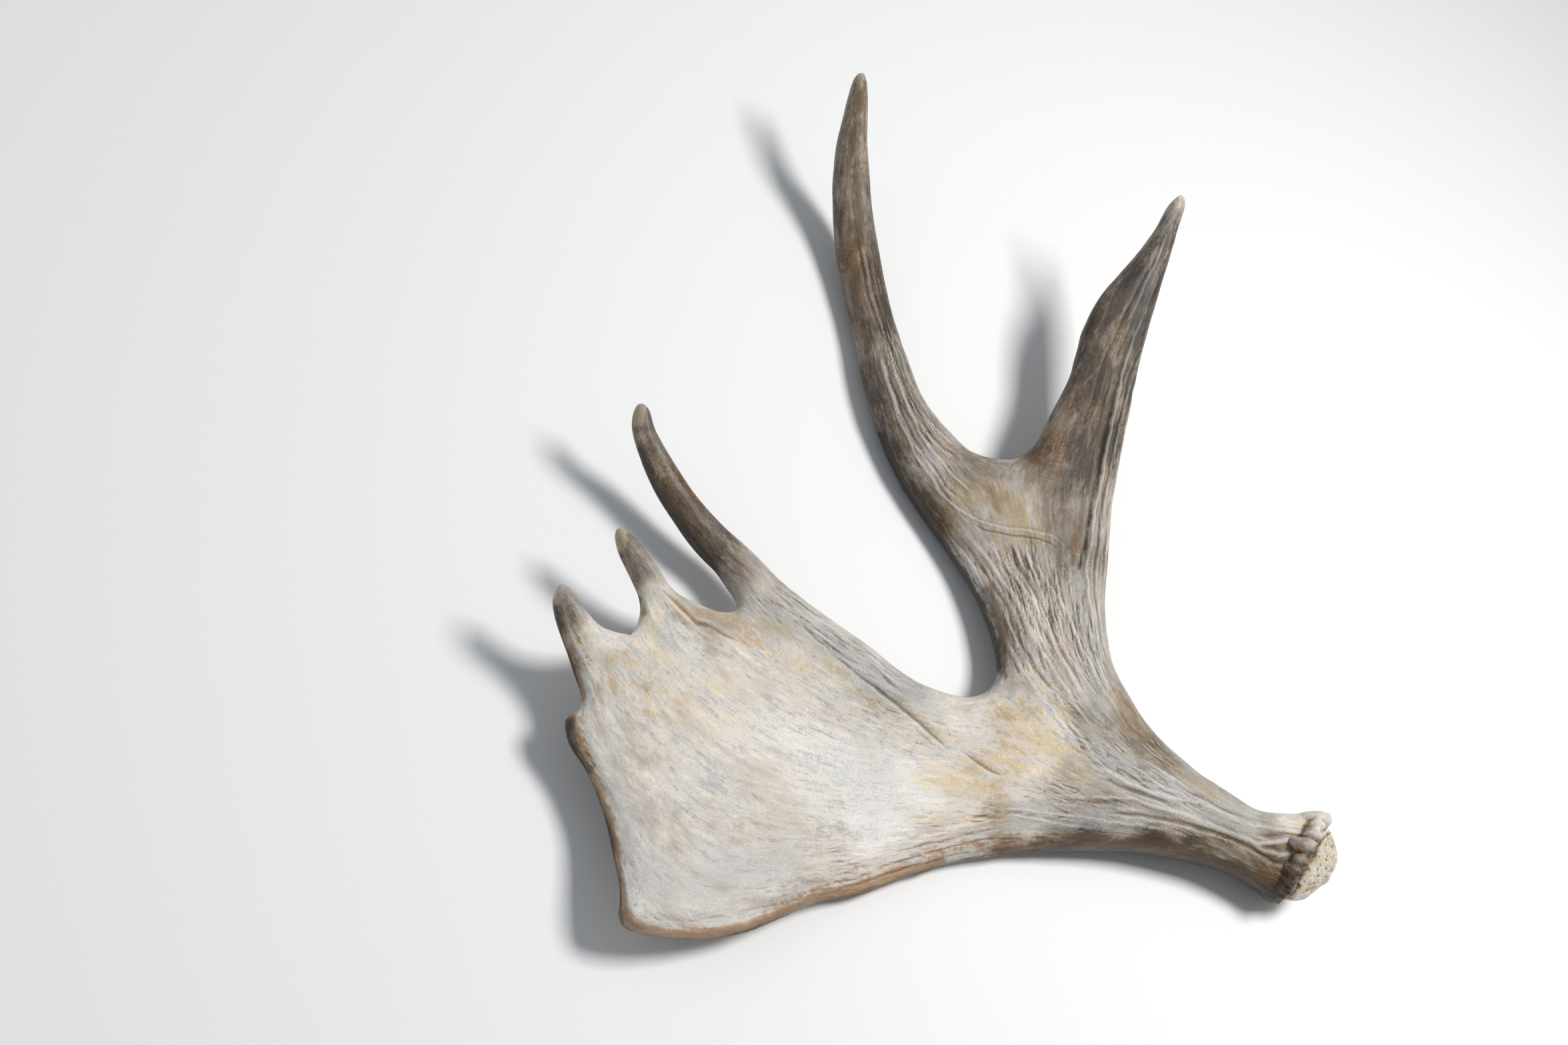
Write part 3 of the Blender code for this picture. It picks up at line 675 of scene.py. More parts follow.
class Board:
    """A node tree, shader or geometry, and the one way to put nodes on it."""

    def __init__(self, tree):
        self.tree = tree

    def node(self, kind, settings=None, inputs=None, output=0):
        """Adds a node, sets it up, joins its inputs, and gives the wire from one of its outputs."""
        node = self.tree.nodes.new(kind)
        for name, value in (settings or {}).items():
            setattr(node, name, value)
        for name, value in (inputs or {}).items():
            if isinstance(value, Wire):
                self.tree.links.new(value.socket, node.inputs[name])
            else:
                node.inputs[name].default_value = value
        return Wire(self, node.outputs[output]) if len(node.outputs) else node

    def math(self, operation, *values):
        return self.node("ShaderNodeMath", {"operation": operation}, dict(enumerate(values)))

    def vector(self, operation, *values, output=0):
        settings = {"operation": operation}
        return self.node("ShaderNodeVectorMath", settings, dict(enumerate(values)), output)

    def scaled(self, vector, factor):
        return self.node("ShaderNodeVectorMath", {"operation": "SCALE"}, {0: vector, "Scale": factor})

    def stored(self, geometry, name, value):
        """Notes a number at each point of a mesh under a name."""
        return self.node("GeometryNodeStoreNamedAttribute", {"data_type": "FLOAT", "domain": "POINT"},
                         {"Geometry": geometry, "Name": name, "Value": value})

    def combined(self, x, y, z):
        return self.node("ShaderNodeCombineXYZ", None, {"X": x, "Y": y, "Z": z})

    def parts(self, vector):
        first = self.node("ShaderNodeSeparateXYZ", None, {"Vector": vector})
        return [Wire(self, socket) for socket in first.socket.node.outputs]

    def attribute(self, name, kind="FLOAT"):
        """A quantity that the mesh holds at its points: a number, or a vector."""
        if self.tree.bl_idname == "GeometryNodeTree":
            return self.node("GeometryNodeInputNamedAttribute", {"data_type": kind}, {"Name": name})
        output = "Fac" if kind == "FLOAT" else "Vector"
        return self.node("ShaderNodeAttribute", {"attribute_name": name}, None, output)

    def noise(self, vector, detail=2.0, roughness=0.5, scale=1.0):
        inputs = {"Vector": vector, "Scale": scale, "Detail": detail, "Roughness": roughness}
        return self.node("ShaderNodeTexNoise", None, inputs)

    def blend(self, share, first, second, mode="MIX"):
        """The first colour, changed to the second by a share from 0 to 1."""
        settings = {"data_type": "RGBA", "blend_type": mode}
        return self.node("ShaderNodeMix", settings, {0: share, 6: first, 7: second}, 2)


class Growth:
    """The way the bone grew, as coordinates for patterns whose streaks follow it.

    The antler widens as it grows, so a pattern fixed to the growth alone would widen too. Each pattern is
    laid at two neighbouring powers of two of its width, and they are mixed by how wide the growth is there.
    """

    def __init__(self, board, spot):
        self.board = board
        across, along, self.height = board.parts(board.attribute("growth", "FLOAT_VECTOR"))
        width = board.attribute("growth_width")
        step = width.math("FLOOR")
        zoom = board.math("POWER", 2.0, step)
        self.share = width - step
        other = 1.0 - self.share
        bend = (board.noise(spot, 1.0, 0.5, 1 / BEND_WIDTH) - 0.5) * (BEND / MM)
        self.across = across * zoom + bend * board.math("POWER", 2.0, 0.0 - self.share)
        self.along = along * zoom
        self.contrast = 1.0 / (self.share * self.share + other * other).math("SQRT")

    def noise(self, width, length=1.0, detail=2.0, roughness=0.5, place=0.0):
        """Noise round 0, stretched along the growth: its width in millimetres and its length in widths.

        Patterns of like width are laid at different places along the growth, so that they aren't alike.
        """
        layers = []
        for zoom in (1.0, 2.0):
            across = self.across * (zoom / width)
            along = self.along * (zoom / (width * length)) + place
            vector = self.board.combined(across, along, self.height / width)
            layers.append(self.board.noise(vector, detail, roughness))
        near, far = layers
        return (near + (far - near) * self.share - 0.5) * self.contrast

    def furrows(self, furrowed, width, length):
        """How furrowed each place is, then its long crests, small crests and grooves, each up to 1."""
        patchy = self.noise(width * 4.0, 2.5, 2.0, 0.5, 12.7).between(-0.12, 0.16)
        crest = 1.0 - abs(self.noise(width, length, 1.0, 0.5)).between(0.0, 0.14)
        small = 1.0 - abs(self.noise(width * 0.6, length, 1.0, 0.5, 3.7)).between(0.0, 0.12)
        groove = 1.0 - abs(self.noise(width * 0.8, length * 1.2, 1.0, 0.5, 8.1)).between(0.0, 0.045)
        return furrowed * (patchy * 0.9 + 0.3), crest, small, groove


# Stains and worn places, with some bands of painted shade and light among them, drawn one by one: strength,
# half width and path. These are on the hollow side alone
HOLLOW_SIDE_STAINS = {
    "honey": (
        (0.75, 12, ((146, -122), (152, -134), (166, -142), (176, -154))),
        (0.7, 9, ((164, -132), (182, -146), (190, -158))),
        (0.8, 8, ((118, -160), (138, -152), (150, -158))),
        (0.75, 8, ((92, -164), (108, -168), (124, -171), (136, -170))),
        (0.45, 8, ((84, -188), (112, -192), (138, -186))),
        (0.95, 12, ((116, 18), (130, 20), (142, 14), (150, 2), (156, -8))),
        (0.5, 6, ((150, 30), (160, 22), (160, 6))),
        (0.5, 9, ((158, -96), (172, -112), (186, -128))),
        (0.4, 9, ((-84, -66), (-76, -88), (-60, -100))),
        (0.35, 8, ((-30, -68), (-8, -84), (16, -92))),
        (0.3, 26, ((-104, -98), (-74, -112), (-40, -120))),
        (0.7, 10, ((50, 270), (46, 240), (44, 200), (45, 170))),
        (0.6, 9, ((-104, -14), (-99, -34), (-88, -56), (-84, -70))),
        (0.45, 9, ((-136, -66), (-124, -82), (-108, -92))),
        (0.7, 9, ((-78, -48), (-58, -60), (-40, -60), (-30, -52))),
        (0.6, 5, ((-40, -66), (-14, -62), (14, -80), (40, -100))),
        (0.9, 2.2, ((224, -148), (246, -156), (262, -166), (278, -178))),
        (0.8, 4, ((210, -110), (222, -126), (238, -142))),
        (0.8, 3, ((300, -208), (322, -206), (336, -207))),
        (0.8, 3, ((74, -113), (82, -120), (93, -129), (103, -138))),
        (0.5, 5, ((30, -96), (46, -108), (62, -120))),
        (0.7, 10, ((276, -207), (300, -218), (316, -230))),
        (0.8, 8, ((334, -200), (330, -214), (324, -228))),
    ),
    "umber": (
        (0.65, 6, ((51, 282), (50, 272), (46, 254), (45, 240))),
        (0.7, 5, ((46, 232), (48, 218), (49, 196), (49, 180))),
        (0.55, 5, ((47, 162), (46, 148), (44, 132))),
        (0.45, 5.5, ((210, 100), (205, 72), (199, 44), (194, 20))),
        (0.35, 5, ((194, 20), (190, 0), (188, -14))),
        (0.7, 5, ((132, -44), (139, -62), (142, -80), (140, -96))),
        (0.5, 4, ((327, -222), (322, -230), (318, -242))),
    ),
    "dark": (
        # this band and the last of these darken the left edges of the brow palm's stem and the long brow
        # tine: partly dark bone, partly painted shade
        (0.75, 3, ((84, 14), (98, -6), (116, -34), (128, -60), (134, -84))),
        (0.6, 2.4, ((209, 70), (204, 42), (199, 15), (195, -8), (191, -28))),
        # painted shade under the beam
        (0.45, 8, ((170, -210), (200, -211), (240, -212), (268, -219), (290, -229), (312, -241))),
        # this line and the next paint shade into the crevice between the pearls and the seal
        (0.6, 1.5, ((353, -197), (348, -202), (343, -208), (341, -214))),
        (0.65, 1.8, ((336, -221), (332, -228), (330, -235), (325, -241))),
        (0.5, 6, ((48, 98), (56, 74), (70, 46), (84, 24))),
    ),
    "pale": (
        (1.0, 26, ((40, -158), (80, -176), (60, -190))),
        (0.6, 30, ((-40, -130), (10, -140), (30, -180))),
        (1.0, 6, ((-98, -240), (-94, -247))),
        # this patch and the next paint light on the bone between the points
        (0.45, 7, ((-119, -78), (-108, -74))),
        (0.8, 6, ((-90, -45), (-82, -58))),
        (0.6, 3, ((80, -205), (104, -197), (130, -192))),
    ),
    "grey": (
        (0.8, 14, ((-28, -50), (10, -68), (55, -96), (88, -114))),
        (0.9, 13, ((205, -150), (230, -166), (262, -180), (296, -191))),
        (0.7, 10, ((150, -188), (190, -190), (230, -190))),
        (0.8, 2, ((-104, -16), (-98, -32), (-96, -46), (-98, -58))),
        (0.6, 24, ((-88, -232), (-50, -232), (0, -216))),
        (0.5, 12, ((-110, -150), (-105, -200), (-96, -228))),
        (0.6, 12, ((205, -120), (194, -70), (188, -36))),
    ),
    "rust": (
        (0.45, 6, ((-143, -48), (-138, -70), (-130, -90))),
        (0.55, 6, ((-106, -10), (-101, -30), (-94, -50))),
        (0.55, 7, ((84, 24), (92, 12), (100, -2))),
        (0.4, 12, ((0, -244), (20, -237), (60, -226))),
        (0.5, 7, ((50, -229), (76, -221), (100, -213), (140, -206))),
        (0.55, 4, ((130, -203), (160, -201), (200, -202))),
        (0.75, 9, ((140, -208), (195, -207), (236, -208), (262, -214), (292, -228))),
        (0.6, 5, ((340, -213), (333, -226), (326, -239))),
        (0.4, 4, ((334, -202), (330, -214), (322, -232))),
    ),
    "worn": (
        (0.35, 3, ((53, 278), (52.5, 256), (52, 236))),
    ),
}
# and these go round to the back as well
ALL_ROUND_STAINS = {
    "umber": (
        (0.75, 4, ((20, -246), (48, -241), (74, -232), (102, -222), (130, -217))),
        # under the beam, darker in part as painted shade
        (0.85, 10, ((140, -215), (163, -213), (229, -213), (261, -219), (303, -236))),
        (1.0, 5, ((-138, -128), (-138, -139), (-134, -149), (-127, -160))),
        (0.8, 2.6, ((-127, -161), (-120, -175), (-114, -191), (-110, -208), (-105, -231))),
        (0.8, 2.6, ((-107, -246), (-104, -260), (-96, -265), (-75, -269), (-50, -269), (-25, -265),
                    (-1, -255), (20, -246))),
    ),
    "dark": (
        # the left edge of the brow palm's stem: partly dark bone, partly painted shade
        (1.0, 5, ((62, 55), (73, 28), (93, -3), (112, -30), (125, -52), (133, -75), (136, -92))),
        # this band and the next run under the palm's lower edge and the beam, darker in part as painted
        # shade
        (0.6, 1.6, ((40, -243), (74, -232), (102, -222), (130, -217))),
        (0.9, 5, ((140, -218), (163, -214), (229, -215), (261, -221), (303, -239))),
        # this band and the next two darken the left edges of the outer point, the knob and the outer rim:
        # dark rim bone, and in part painted shade
        (1.0, 3, ((-149, -52), (-144, -75), (-137, -96), (-132, -115))),
        (1.0, 3.4, ((-140, -129), (-140, -139), (-136, -149), (-128, -161))),
        (0.9, 1.6, ((-128, -161), (-121, -175), (-115, -191), (-111, -208), (-106, -231), (-106, -246))),
        # under the palm's lower edge, darker in part as painted shade
        (0.7, 1.4, ((-75, -269), (-50, -269), (-25, -265), (-1, -255), (20, -246))),
        # these three darken the left edges of the long palm tine, the middle point and the short brow tine:
        # partly dark bone, partly painted shade
        (0.9, 6, ((-38, -48), (-47, -32), (-60, -16), (-75, 5), (-86, 23), (-94, 45))),
        (0.9, 2.5, ((-99, -70), (-94, -50), (-100, -34), (-107, -18))),
        (0.5, 6, ((172, 68), (184, 93), (193, 122), (206, 145))),
    ),
    "pale": (
        (0.7, 3.5, ((257, 210), (255, 205))),
    ),
    "rust": (
        (0.9, 4.5, ((-146, -62), (-139, -84), (-130, -112))),
        (0.9, 5, ((-136, -126), (-134, -140), (-128, -155), (-119, -174), (-112, -192))),
        (0.8, 4.5, ((-112, -192), (-108, -210), (-104, -232), (-105, -250))),
        (1.0, 6, ((-104, -250), (-100, -260), (-75, -266), (-50, -266), (-25, -262), (-1, -252),
                  (20, -243), (60, -233), (100, -219))),
        (0.6, 4, ((-92, -58), (-97, -38), (-104, -20))),
    ),
    "worn": (
        (0.5, 4, ((51, 287), (50, 280))),
        (1.0, 3.5, ((257, 210), (255, 205))),
        (1.0, 5, ((-92, 76), (-93, 66))),
        (0.45, 6, ((-93, 62), (-88, 44), (-80, 30))),
        (1.0, 5, ((-106, -4), (-105, -14))),
        (0.45, 5, ((-103, -18), (-98, -32))),
        (0.7, 4.5, ((-144, -41), (-146, -50))),
        (0.4, 4, ((-140, -60), (-134, -84))),
        (0.6, 3, ((-92, -262), (-70, -266))),
    ),
}
# The mesh holds the amounts of most stains three by three, for the material to read
STAIN_SETS = {"stains": ("honey", "umber", "dark"), "wear": ("pale", "grey", "rust")}

# Where the bone is open and spongy besides the seal: strength, half width and the path
SPONGY = ((0.8, 6, ((-96, -242), (-95, -244))), (0.4, 5, ((-84, -241), (-83, -244))))
SEAL_START = 4.0  # along the beam past the middle of the burr
SEAL_EASE = 3.0  # over which the seal begins
SEAL_RADIUS = 30.0  # inside the ring of pearls

BUMP_DISTANCE = 0.0007  # how high, in metres, grain of height 1 seems to stand
BONE_SHINE = 0.32  # less than the 0.5 of polished things

# The studio, in metres, and its lights' places in the drawing
FLOOR_TURN = 1.0  # radius of the turn from the floor up into the backdrop
FLOOR_TURN_STEPS = 10
FLOOR_SIDES = 96
FLOOR_ROUGHNESS = 0.9
KEY_PLACE = (1500, 640, 900)
KEY_TINT = (1.0, 0.985, 0.965)
FILL_PLACE = (-900, 700, 1400)
FILL_TINT = (0.76, 0.88, 1.0)
ROOM_TINT = (0.90, 0.95, 1.0, 1.0)
SENSOR_WIDTH = 36.0  # of the camera, in millimetres
CAMERA_REACH = 30.0  # beyond which the camera sees nothing


def new_object(name, mesh):
    """An object in the scene that shows the mesh."""
    thing = bpy.data.objects.new(name, mesh)
    bpy.context.scene.collection.objects.link(thing)
    return thing


def applied(thing):
    """The object's mesh with its modifiers worked out, in place of its own."""
    evaluated = thing.evaluated_get(bpy.context.evaluated_depsgraph_get())
    mesh = bpy.data.meshes.new_from_object(evaluated)
    thing.modifiers.clear()
    thing.data = mesh
    return mesh


def points_of(mesh):
    """The mesh's points as an array."""
    flat = np.zeros(len(mesh.vertices) * 3)
    mesh.vertices.foreach_get("co", flat)
    return flat.reshape(-1, 3)


def give(mesh, name, values):
    """Stores a quantity at the mesh's points, for the nodes to read."""
    values = np.asarray(values, np.float32)
    kind, field = ("FLOAT", "value") if values.ndim == 1 else ("FLOAT_VECTOR", "vector")
    attribute = mesh.attributes.get(name) or mesh.attributes.new(name, kind, "POINT")
    attribute.data.foreach_set(field, values.ravel())


def geometry_tree(name, sizes):
    """A geometry node tree with named inputs: its board and its input wires."""
    tree = bpy.data.node_groups.new(name, "GeometryNodeTree")
    tree.interface.new_socket("Geometry", in_out="INPUT", socket_type="NodeSocketGeometry")
    tree.interface.new_socket("Geometry", in_out="OUTPUT", socket_type="NodeSocketGeometry")
    for size, kind in sizes.items():
        tree.interface.new_socket(size, in_out="INPUT", socket_type=f"NodeSocket{kind}")
    board = Board(tree)
    first = tree.nodes.new("NodeGroupInput")
    wires = {socket.name: Wire(board, socket) for socket in first.outputs if socket.name}
    return board, wires


def end_tree(board, geometry, material):
    """Makes instances real, sets the material, and joins the tree's output."""
    real = board.node("GeometryNodeRealizeInstances", None, {"Geometry": geometry})
    done = board.node("GeometryNodeSetMaterial", None, {"Geometry": real, "Material": material})
    board.node("NodeGroupOutput", None, {"Geometry": done})


def add_nodes(thing, tree, values):
    """Puts a geometry tree on the object, with the tree's inputs set by their identifiers."""
    nodes = thing.modifiers.new(tree.name, "NODES")
    nodes.node_group = tree
    for item in tree.interface.items_tree:
        if item.item_type == "SOCKET" and item.in_out == "INPUT" and item.name in values:
            nodes[item.identifier] = values[item.name]


def pearl_tree():
    """A pearl of bone at each point, with its size and the way it leans from the points."""
    sizes = {"Pearl radius": "Float", "Stretch": "Float", "Unevenness": "Float", "Seed": "Int",
             "Material": "Material"}
    board, given = geometry_tree("Burr pearls", sizes)
    ball = board.node("GeometryNodeMeshIcoSphere", None, {
        "Radius": given["Pearl radius"], "Subdivisions": 3})
    spot = board.node("GeometryNodeInputPosition")
    bumps = board.noise(spot, 2.0, 0.5, 0.35)
    normal = board.node("GeometryNodeInputNormal")
    push = board.scaled(normal, (bumps - 0.5) * given["Unevenness"] * given["Pearl radius"])
    ball = board.node("GeometryNodeSetPosition", None, {"Geometry": ball, "Offset": push})
    axis = board.attribute("lean", "FLOAT_VECTOR")
    turn = board.node("FunctionNodeAlignRotationToVector", {"axis": "Z"}, {"Vector": axis})
    spin = board.node("FunctionNodeRandomValue", {"data_type": "FLOAT"},
                      {2: 0.9, 3: 1.1, "Seed": given["Seed"]}, 1)
    size = board.attribute("size") * spin
    scale = board.combined(size, size, size * given["Stretch"])
    pearls = board.node("GeometryNodeInstanceOnPoints", None, {
        "Points": given["Geometry"], "Instance": ball, "Rotation": turn, "Scale": scale})
    end_tree(board, pearls, given["Material"])
    return board.tree


# The relief's sizes: each is a setting of the antler's shape under the same name
RELIEF_SIZES = (
    "Furrow depth", "Furrow width", "Furrow length", "Fine furrows", "Swell height", "Swell width",
    "Sponge depth", "Sponge width",
)


def relief_tree():
    """Furrows along the growth, soft swells, drawn creases and spongy bone, raised on the surface.

    It also notes the pits and the hollows, for the material, which paints shade into the hollows.
    """
    sizes = {**dict.fromkeys(RELIEF_SIZES, "Float"), "Hollow reach": "Int", "Material": "Material"}
    board, given = geometry_tree("Bone relief", sizes)
    spot = board.node("GeometryNodeInputPosition")
    growth = Growth(board, spot)
    furrowed, crest, small, groove = growth.furrows(
        board.attribute("furrowed"), given["Furrow width"] / MM, given["Furrow length"])
    swell = board.noise(spot, 1.0, 0.5, 1.0 / given["Swell width"]) - 0.5
    sponge = board.attribute("sponge")
    lumps = board.noise(spot, 5.0, 0.62, 0.4 / given["Sponge width"]) - 0.5
    holes = board.noise(spot, 2.0, 0.6, 2.2 / given["Sponge width"]) - 0.5
    pits = (holes - lumps * 0.6).between(0.12, 0.24)
    height = (
        swell * given["Swell height"]
        + (crest * 0.6 - groove * 0.5 - 0.35) * furrowed * given["Furrow depth"]
        + (small - 0.6) * (furrowed + 0.2) * given["Fine furrows"]
        + board.attribute("carved") * MM
        + (lumps * 5.0 - pits * 0.5) * sponge * given["Sponge depth"]
    )
    normal = board.node("GeometryNodeInputNormal")
    noted = board.stored(given["Geometry"], "pits", pits * sponge)
    raised = board.node("GeometryNodeSetPosition", None, {
        "Geometry": noted, "Offset": board.scaled(normal, height)})
    blurred = board.node("GeometryNodeBlurAttribute", {"data_type": "FLOAT_VECTOR"}, {
        "Value": spot, "Iterations": given["Hollow reach"]})
    hollow = board.vector("DOT_PRODUCT", board.vector("SUBTRACT", blurred, spot), normal, output=1) / MM
    end_tree(board, board.stored(raised, "hollow", hollow), given["Material"])
    return board.tree


def grown_body(sheet, pearls, voxel):
    """The antler in one skin, in millimetres: the blown-up sheet with the burr's collar and pearls."""
    front = in_space(sheet.flat, sheet.depth + sheet.thickness)
    back = in_space(sheet.flat, sheet.depth - sheet.thickness)[sheet.rim:]
    behind = np.where(sheet.triangles < sheet.rim, sheet.triangles,
                      sheet.triangles + len(sheet.flat) - sheet.rim)
    mesh = bpy.data.meshes.new("grown body")
    mesh.from_pydata(np.vstack([front, back]).tolist(), [],
                     np.vstack([sheet.triangles, behind[:, ::-1]]).tolist())
    body = bmesh.new()
    body.from_mesh(mesh)
    bmesh.ops.recalc_face_normals(body, faces=body.faces)
    place = burr_place(sheet)
    collar = Matrix.Diagonal((BURR_RADIUS, BURR_RADIUS, BURR_COLLAR, 1))
    bmesh.ops.create_icosphere(body, subdivisions=4, radius=1, matrix=place @ collar)
    body.from_mesh(pearls)
    body.to_mesh(mesh)
    body.free()
    antler = new_object("grown body", mesh)
    fuse = antler.modifiers.new("Fuse", "REMESH")
    fuse.mode = "VOXEL"
    fuse.voxel_size = voxel / MM
    ease = antler.modifiers.new("Ease", "SMOOTH")
    ease.iterations = SMOOTHING_ROUNDS
    applied(antler)
    return antler


def burr_place(sheet):
    """Takes a ring lying round the z axis to the end of the beam, square to it."""
    axis = Vector(BURR_AXIS).normalized()
    near = np.linalg.norm(sheet.flat - BURR_CENTRE, axis=1).argmin()
    centre = in_space(np.array([BURR_CENTRE], float), sheet.depth[near : near + 1])[0]
    upper = Vector((0.0, 1.0, 0.0))
    upper = (upper - axis * upper.dot(axis)).normalized()
    turn = Matrix((upper, axis.cross(upper), axis)).transposed().to_4x4()
    return Matrix.Translation(centre) @ turn


def pearl_points(sheet):
    """The burr's pearls as loose points with their sizes and the way they lean.

    Those behind are moved a little by waves of their own, so that they aren't quite even.
    """
    last = FRONT_PEARLS[-1][0]
    gap = (360 - last) / (BACK_PEARLS + 1)
    behind = [
        (last + gap * (k + 1 + 0.2 * np.sin(5 * k)), 1 + 0.25 * np.sin(3.7 * k), 1.5 * np.sin(2.3 * k))
        for k in range(BACK_PEARLS)
    ]
    place = burr_place(sheet)
    shape = bpy.context.scene.antler_shape
    points, sizes, leans = [], [], []
    for angle, size, shift in (*FRONT_PEARLS, *behind):
        swing = np.radians(angle)
        reach = BURR_RADIUS - PEARL_SINK * size * shape.pearl_radius / MM
        out = Vector((np.cos(swing), np.sin(swing), 0))
        points.append(place @ (out * reach + Vector((0, 0, shift))))
        leans.append(place.to_3x3() @ (out * PEARL_LEAN + Vector((0, 0, 1))))
        sizes.append(size)
    mesh = bpy.data.meshes.new("pearl points")
    mesh.from_pydata(points, [], [])
    give(mesh, "size", sizes)
    give(mesh, "lean", leans)
    return mesh


def seal_at(sheet, points):
    """1 on the seal, inside the ring of pearls, and 0 elsewhere."""
    from_burr = points - np.array(burr_place(sheet).translation)
    axis = np.array(Vector(BURR_AXIS).normalized())
    past = from_burr @ axis
    aside = np.linalg.norm(from_burr - past[:, None] * axis, axis=1)
    within = np.clip((SEAL_RADIUS - aside) / SEAL_EASE, 0, 1)
    return np.clip((past - SEAL_START) / SEAL_EASE, 0, 1) * within


def dress(antler, sheet):
    """Gives the skin's points their growth, furrows, creases, and stains with some painted shade and light
    among them, as the drawing states them.
    """
    mesh = antler.data
    points = points_of(mesh)
    drawn = as_drawn(points)
    depth, across, along, growth_width, furrowed, brown = sheet.found(drawn)
    height = points[:, 2] - depth
    towards = 1 / (1 + np.exp(-FRONT_EASE * height))
    seal = seal_at(sheet, points)
    sponge = sum(strength * path_weight(drawn, path, width) for strength, width, path in SPONGY) * towards
    wavering = wavered(drawn)
    carved = sum(rise * path_weight(wavering, path, width, CARVED_TAPER) for rise, width, path in CARVED)
    amounts = {}
    for stains, side in ((HOLLOW_SIDE_STAINS, towards), (ALL_ROUND_STAINS, 1)):
        for stain, places in stains.items():
            for strength, width, path in places:
                amount = strength * path_weight(wavering, path, width) * side
                amounts[stain] = np.maximum(amounts.get(stain, 0), amount)
    give(mesh, "growth", np.column_stack([across, along, height]))
    give(mesh, "growth_width", growth_width)
    give(mesh, "sponge", np.maximum(seal, sponge))
    give(mesh, "seal", seal)
    give(mesh, "furrowed", furrowed * (1 - seal))
    give(mesh, "brown", brown)
    give(mesh, "carved", carved * towards * (1 - seal))
    give(mesh, "worn", amounts["worn"])
    for name, stains in STAIN_SETS.items():
        give(mesh, name, np.column_stack([amounts[stain] for stain in stains]))


def raise_relief(antler):
    """Raises the relief, thins the skin out, and keeps it inside the box of the CAD model."""
    shape = bpy.context.scene.antler_shape
    values = {size: getattr(shape, size.lower().replace(" ", "_")) for size in RELIEF_SIZES}
    add_nodes(antler, relief_tree(), {
        **values, "Hollow reach": HOLLOW_REACH, "Material": bpy.data.materials["Antler bone"]})
    applied(antler)
    thin = antler.modifiers.new("Thin out", "DECIMATE")
    thin.ratio = shape.share_kept
    mesh = applied(antler)
    low, high = (np.array(corner) for corner in cad_box)
    kept = np.clip(points_of(mesh), low + BOX_MARGIN, high - BOX_MARGIN)
    mesh.vertices.foreach_set("co", kept.ravel())
    mesh.update()


def sawn(antler):
    """Parts the antler at its main forks without a gap: the pieces, still open at their cuts."""
    mesh = antler.data
    normals = np.zeros(len(mesh.vertices) * 3, np.float32)
    mesh.vertices.foreach_get("normal", normals)
    give(mesh, "skin_normal", normals.reshape(-1, 3))
    place = resting_place()
    turned = np.array(place.inverted())
    spots = as_drawn(points_of(mesh) @ turned[:3, :3].T + turned[:3, 3])
    body = bmesh.new()
    body.from_mesh(mesh)
    body.verts.ensure_lookup_table()
    viewer = place @ Vector((0, 0, VIEW_DISTANCE))
    blades = []
    for ends in np.array(list(SAW_CUTS.values()), float):
        first, second = (place @ Vector(spot) for spot in in_space(ends, leaning_plane(ends)))
        along = ends[1] - ends[0]
        span = np.linalg.norm(along)
        share = (spots - ends[0]) @ along / span**2
        off = np.abs((spots - ends[0]) @ (-along[1], along[0])) / span
        near = {body.verts[k] for k in np.flatnonzero((share > 0) & (share < 1) & (off < SAW_REACH))}
        blades.append((first, (second - first).cross(viewer - first).normalized(), near))
    for first, normal, near in blades:
        edges = {edge for corner in near for edge in corner.link_edges}
        faces = {face for corner in near for face in corner.link_faces}
        corners = {corner for face in faces for corner in face.verts}
        edges |= {edge for face in faces for edge in face.edges}
        cut = bmesh.ops.bisect_plane(
            body, geom=[*corners, *edges, *faces], dist=1e-9, plane_co=first, plane_no=normal)["geom_cut"]
        bmesh.ops.split_edges(body, edges=[part for part in cut if isinstance(part, bmesh.types.BMEdge)])
    body.to_mesh(mesh)
    body.free()
    bpy.ops.object.select_all(action="DESELECT")
    antler.select_set(True)
    bpy.context.view_layer.objects.active = antler
    bpy.ops.mesh.separate(type="LOOSE")
    return list(bpy.context.selected_objects)


def without_cavities(pieces):
    """The pieces of bone, without the small hollows that are shut in between the pearls."""
    pieces = sorted(pieces, key=lambda thing: len(thing.data.polygons), reverse=True)
    for cavity in pieces[len(PIECES):]:
        if len(cavity.data.polygons) > CAVITY_FACES:
            raise RuntimeError(f"the antler came apart in {len(pieces)} pieces, not {len(PIECES)}")
        bpy.data.objects.remove(cavity)
    return pieces[:len(PIECES)]


def nearest(pieces, spot):
    """The piece that is nearest to a place of the drawing."""
    flat = np.array([spot], float)
    middle = resting_place() @ Vector(in_space(flat, leaning_plane(flat))[0])
    return min(pieces, key=lambda thing: np.linalg.norm(points_of(thing.data) - middle, axis=1).min())


def closed(piece):
    """Closes a sawn piece with flat faces and gives it the whole antler's normals, so that no cut shows."""
    mesh = piece.data
    body = bmesh.new()
    body.from_mesh(mesh)
    rim = [edge for edge in body.edges if edge.is_boundary]
    bmesh.ops.triangle_fill(body, use_beauty=True, edges=rim)
    bmesh.ops.recalc_face_normals(body, faces=body.faces)
    bmesh.ops.triangulate(body, faces=body.faces)
    body.to_mesh(mesh)
    body.free()
    mesh.shade_smooth()
    skin = np.zeros(len(mesh.vertices) * 3, np.float32)
    mesh.attributes["skin_normal"].data.foreach_get("vector", skin)
    mesh.normals_split_custom_set_from_vertices(skin.reshape(-1, 3).tolist())
    mesh.attributes.remove(mesh.attributes["skin_normal"])


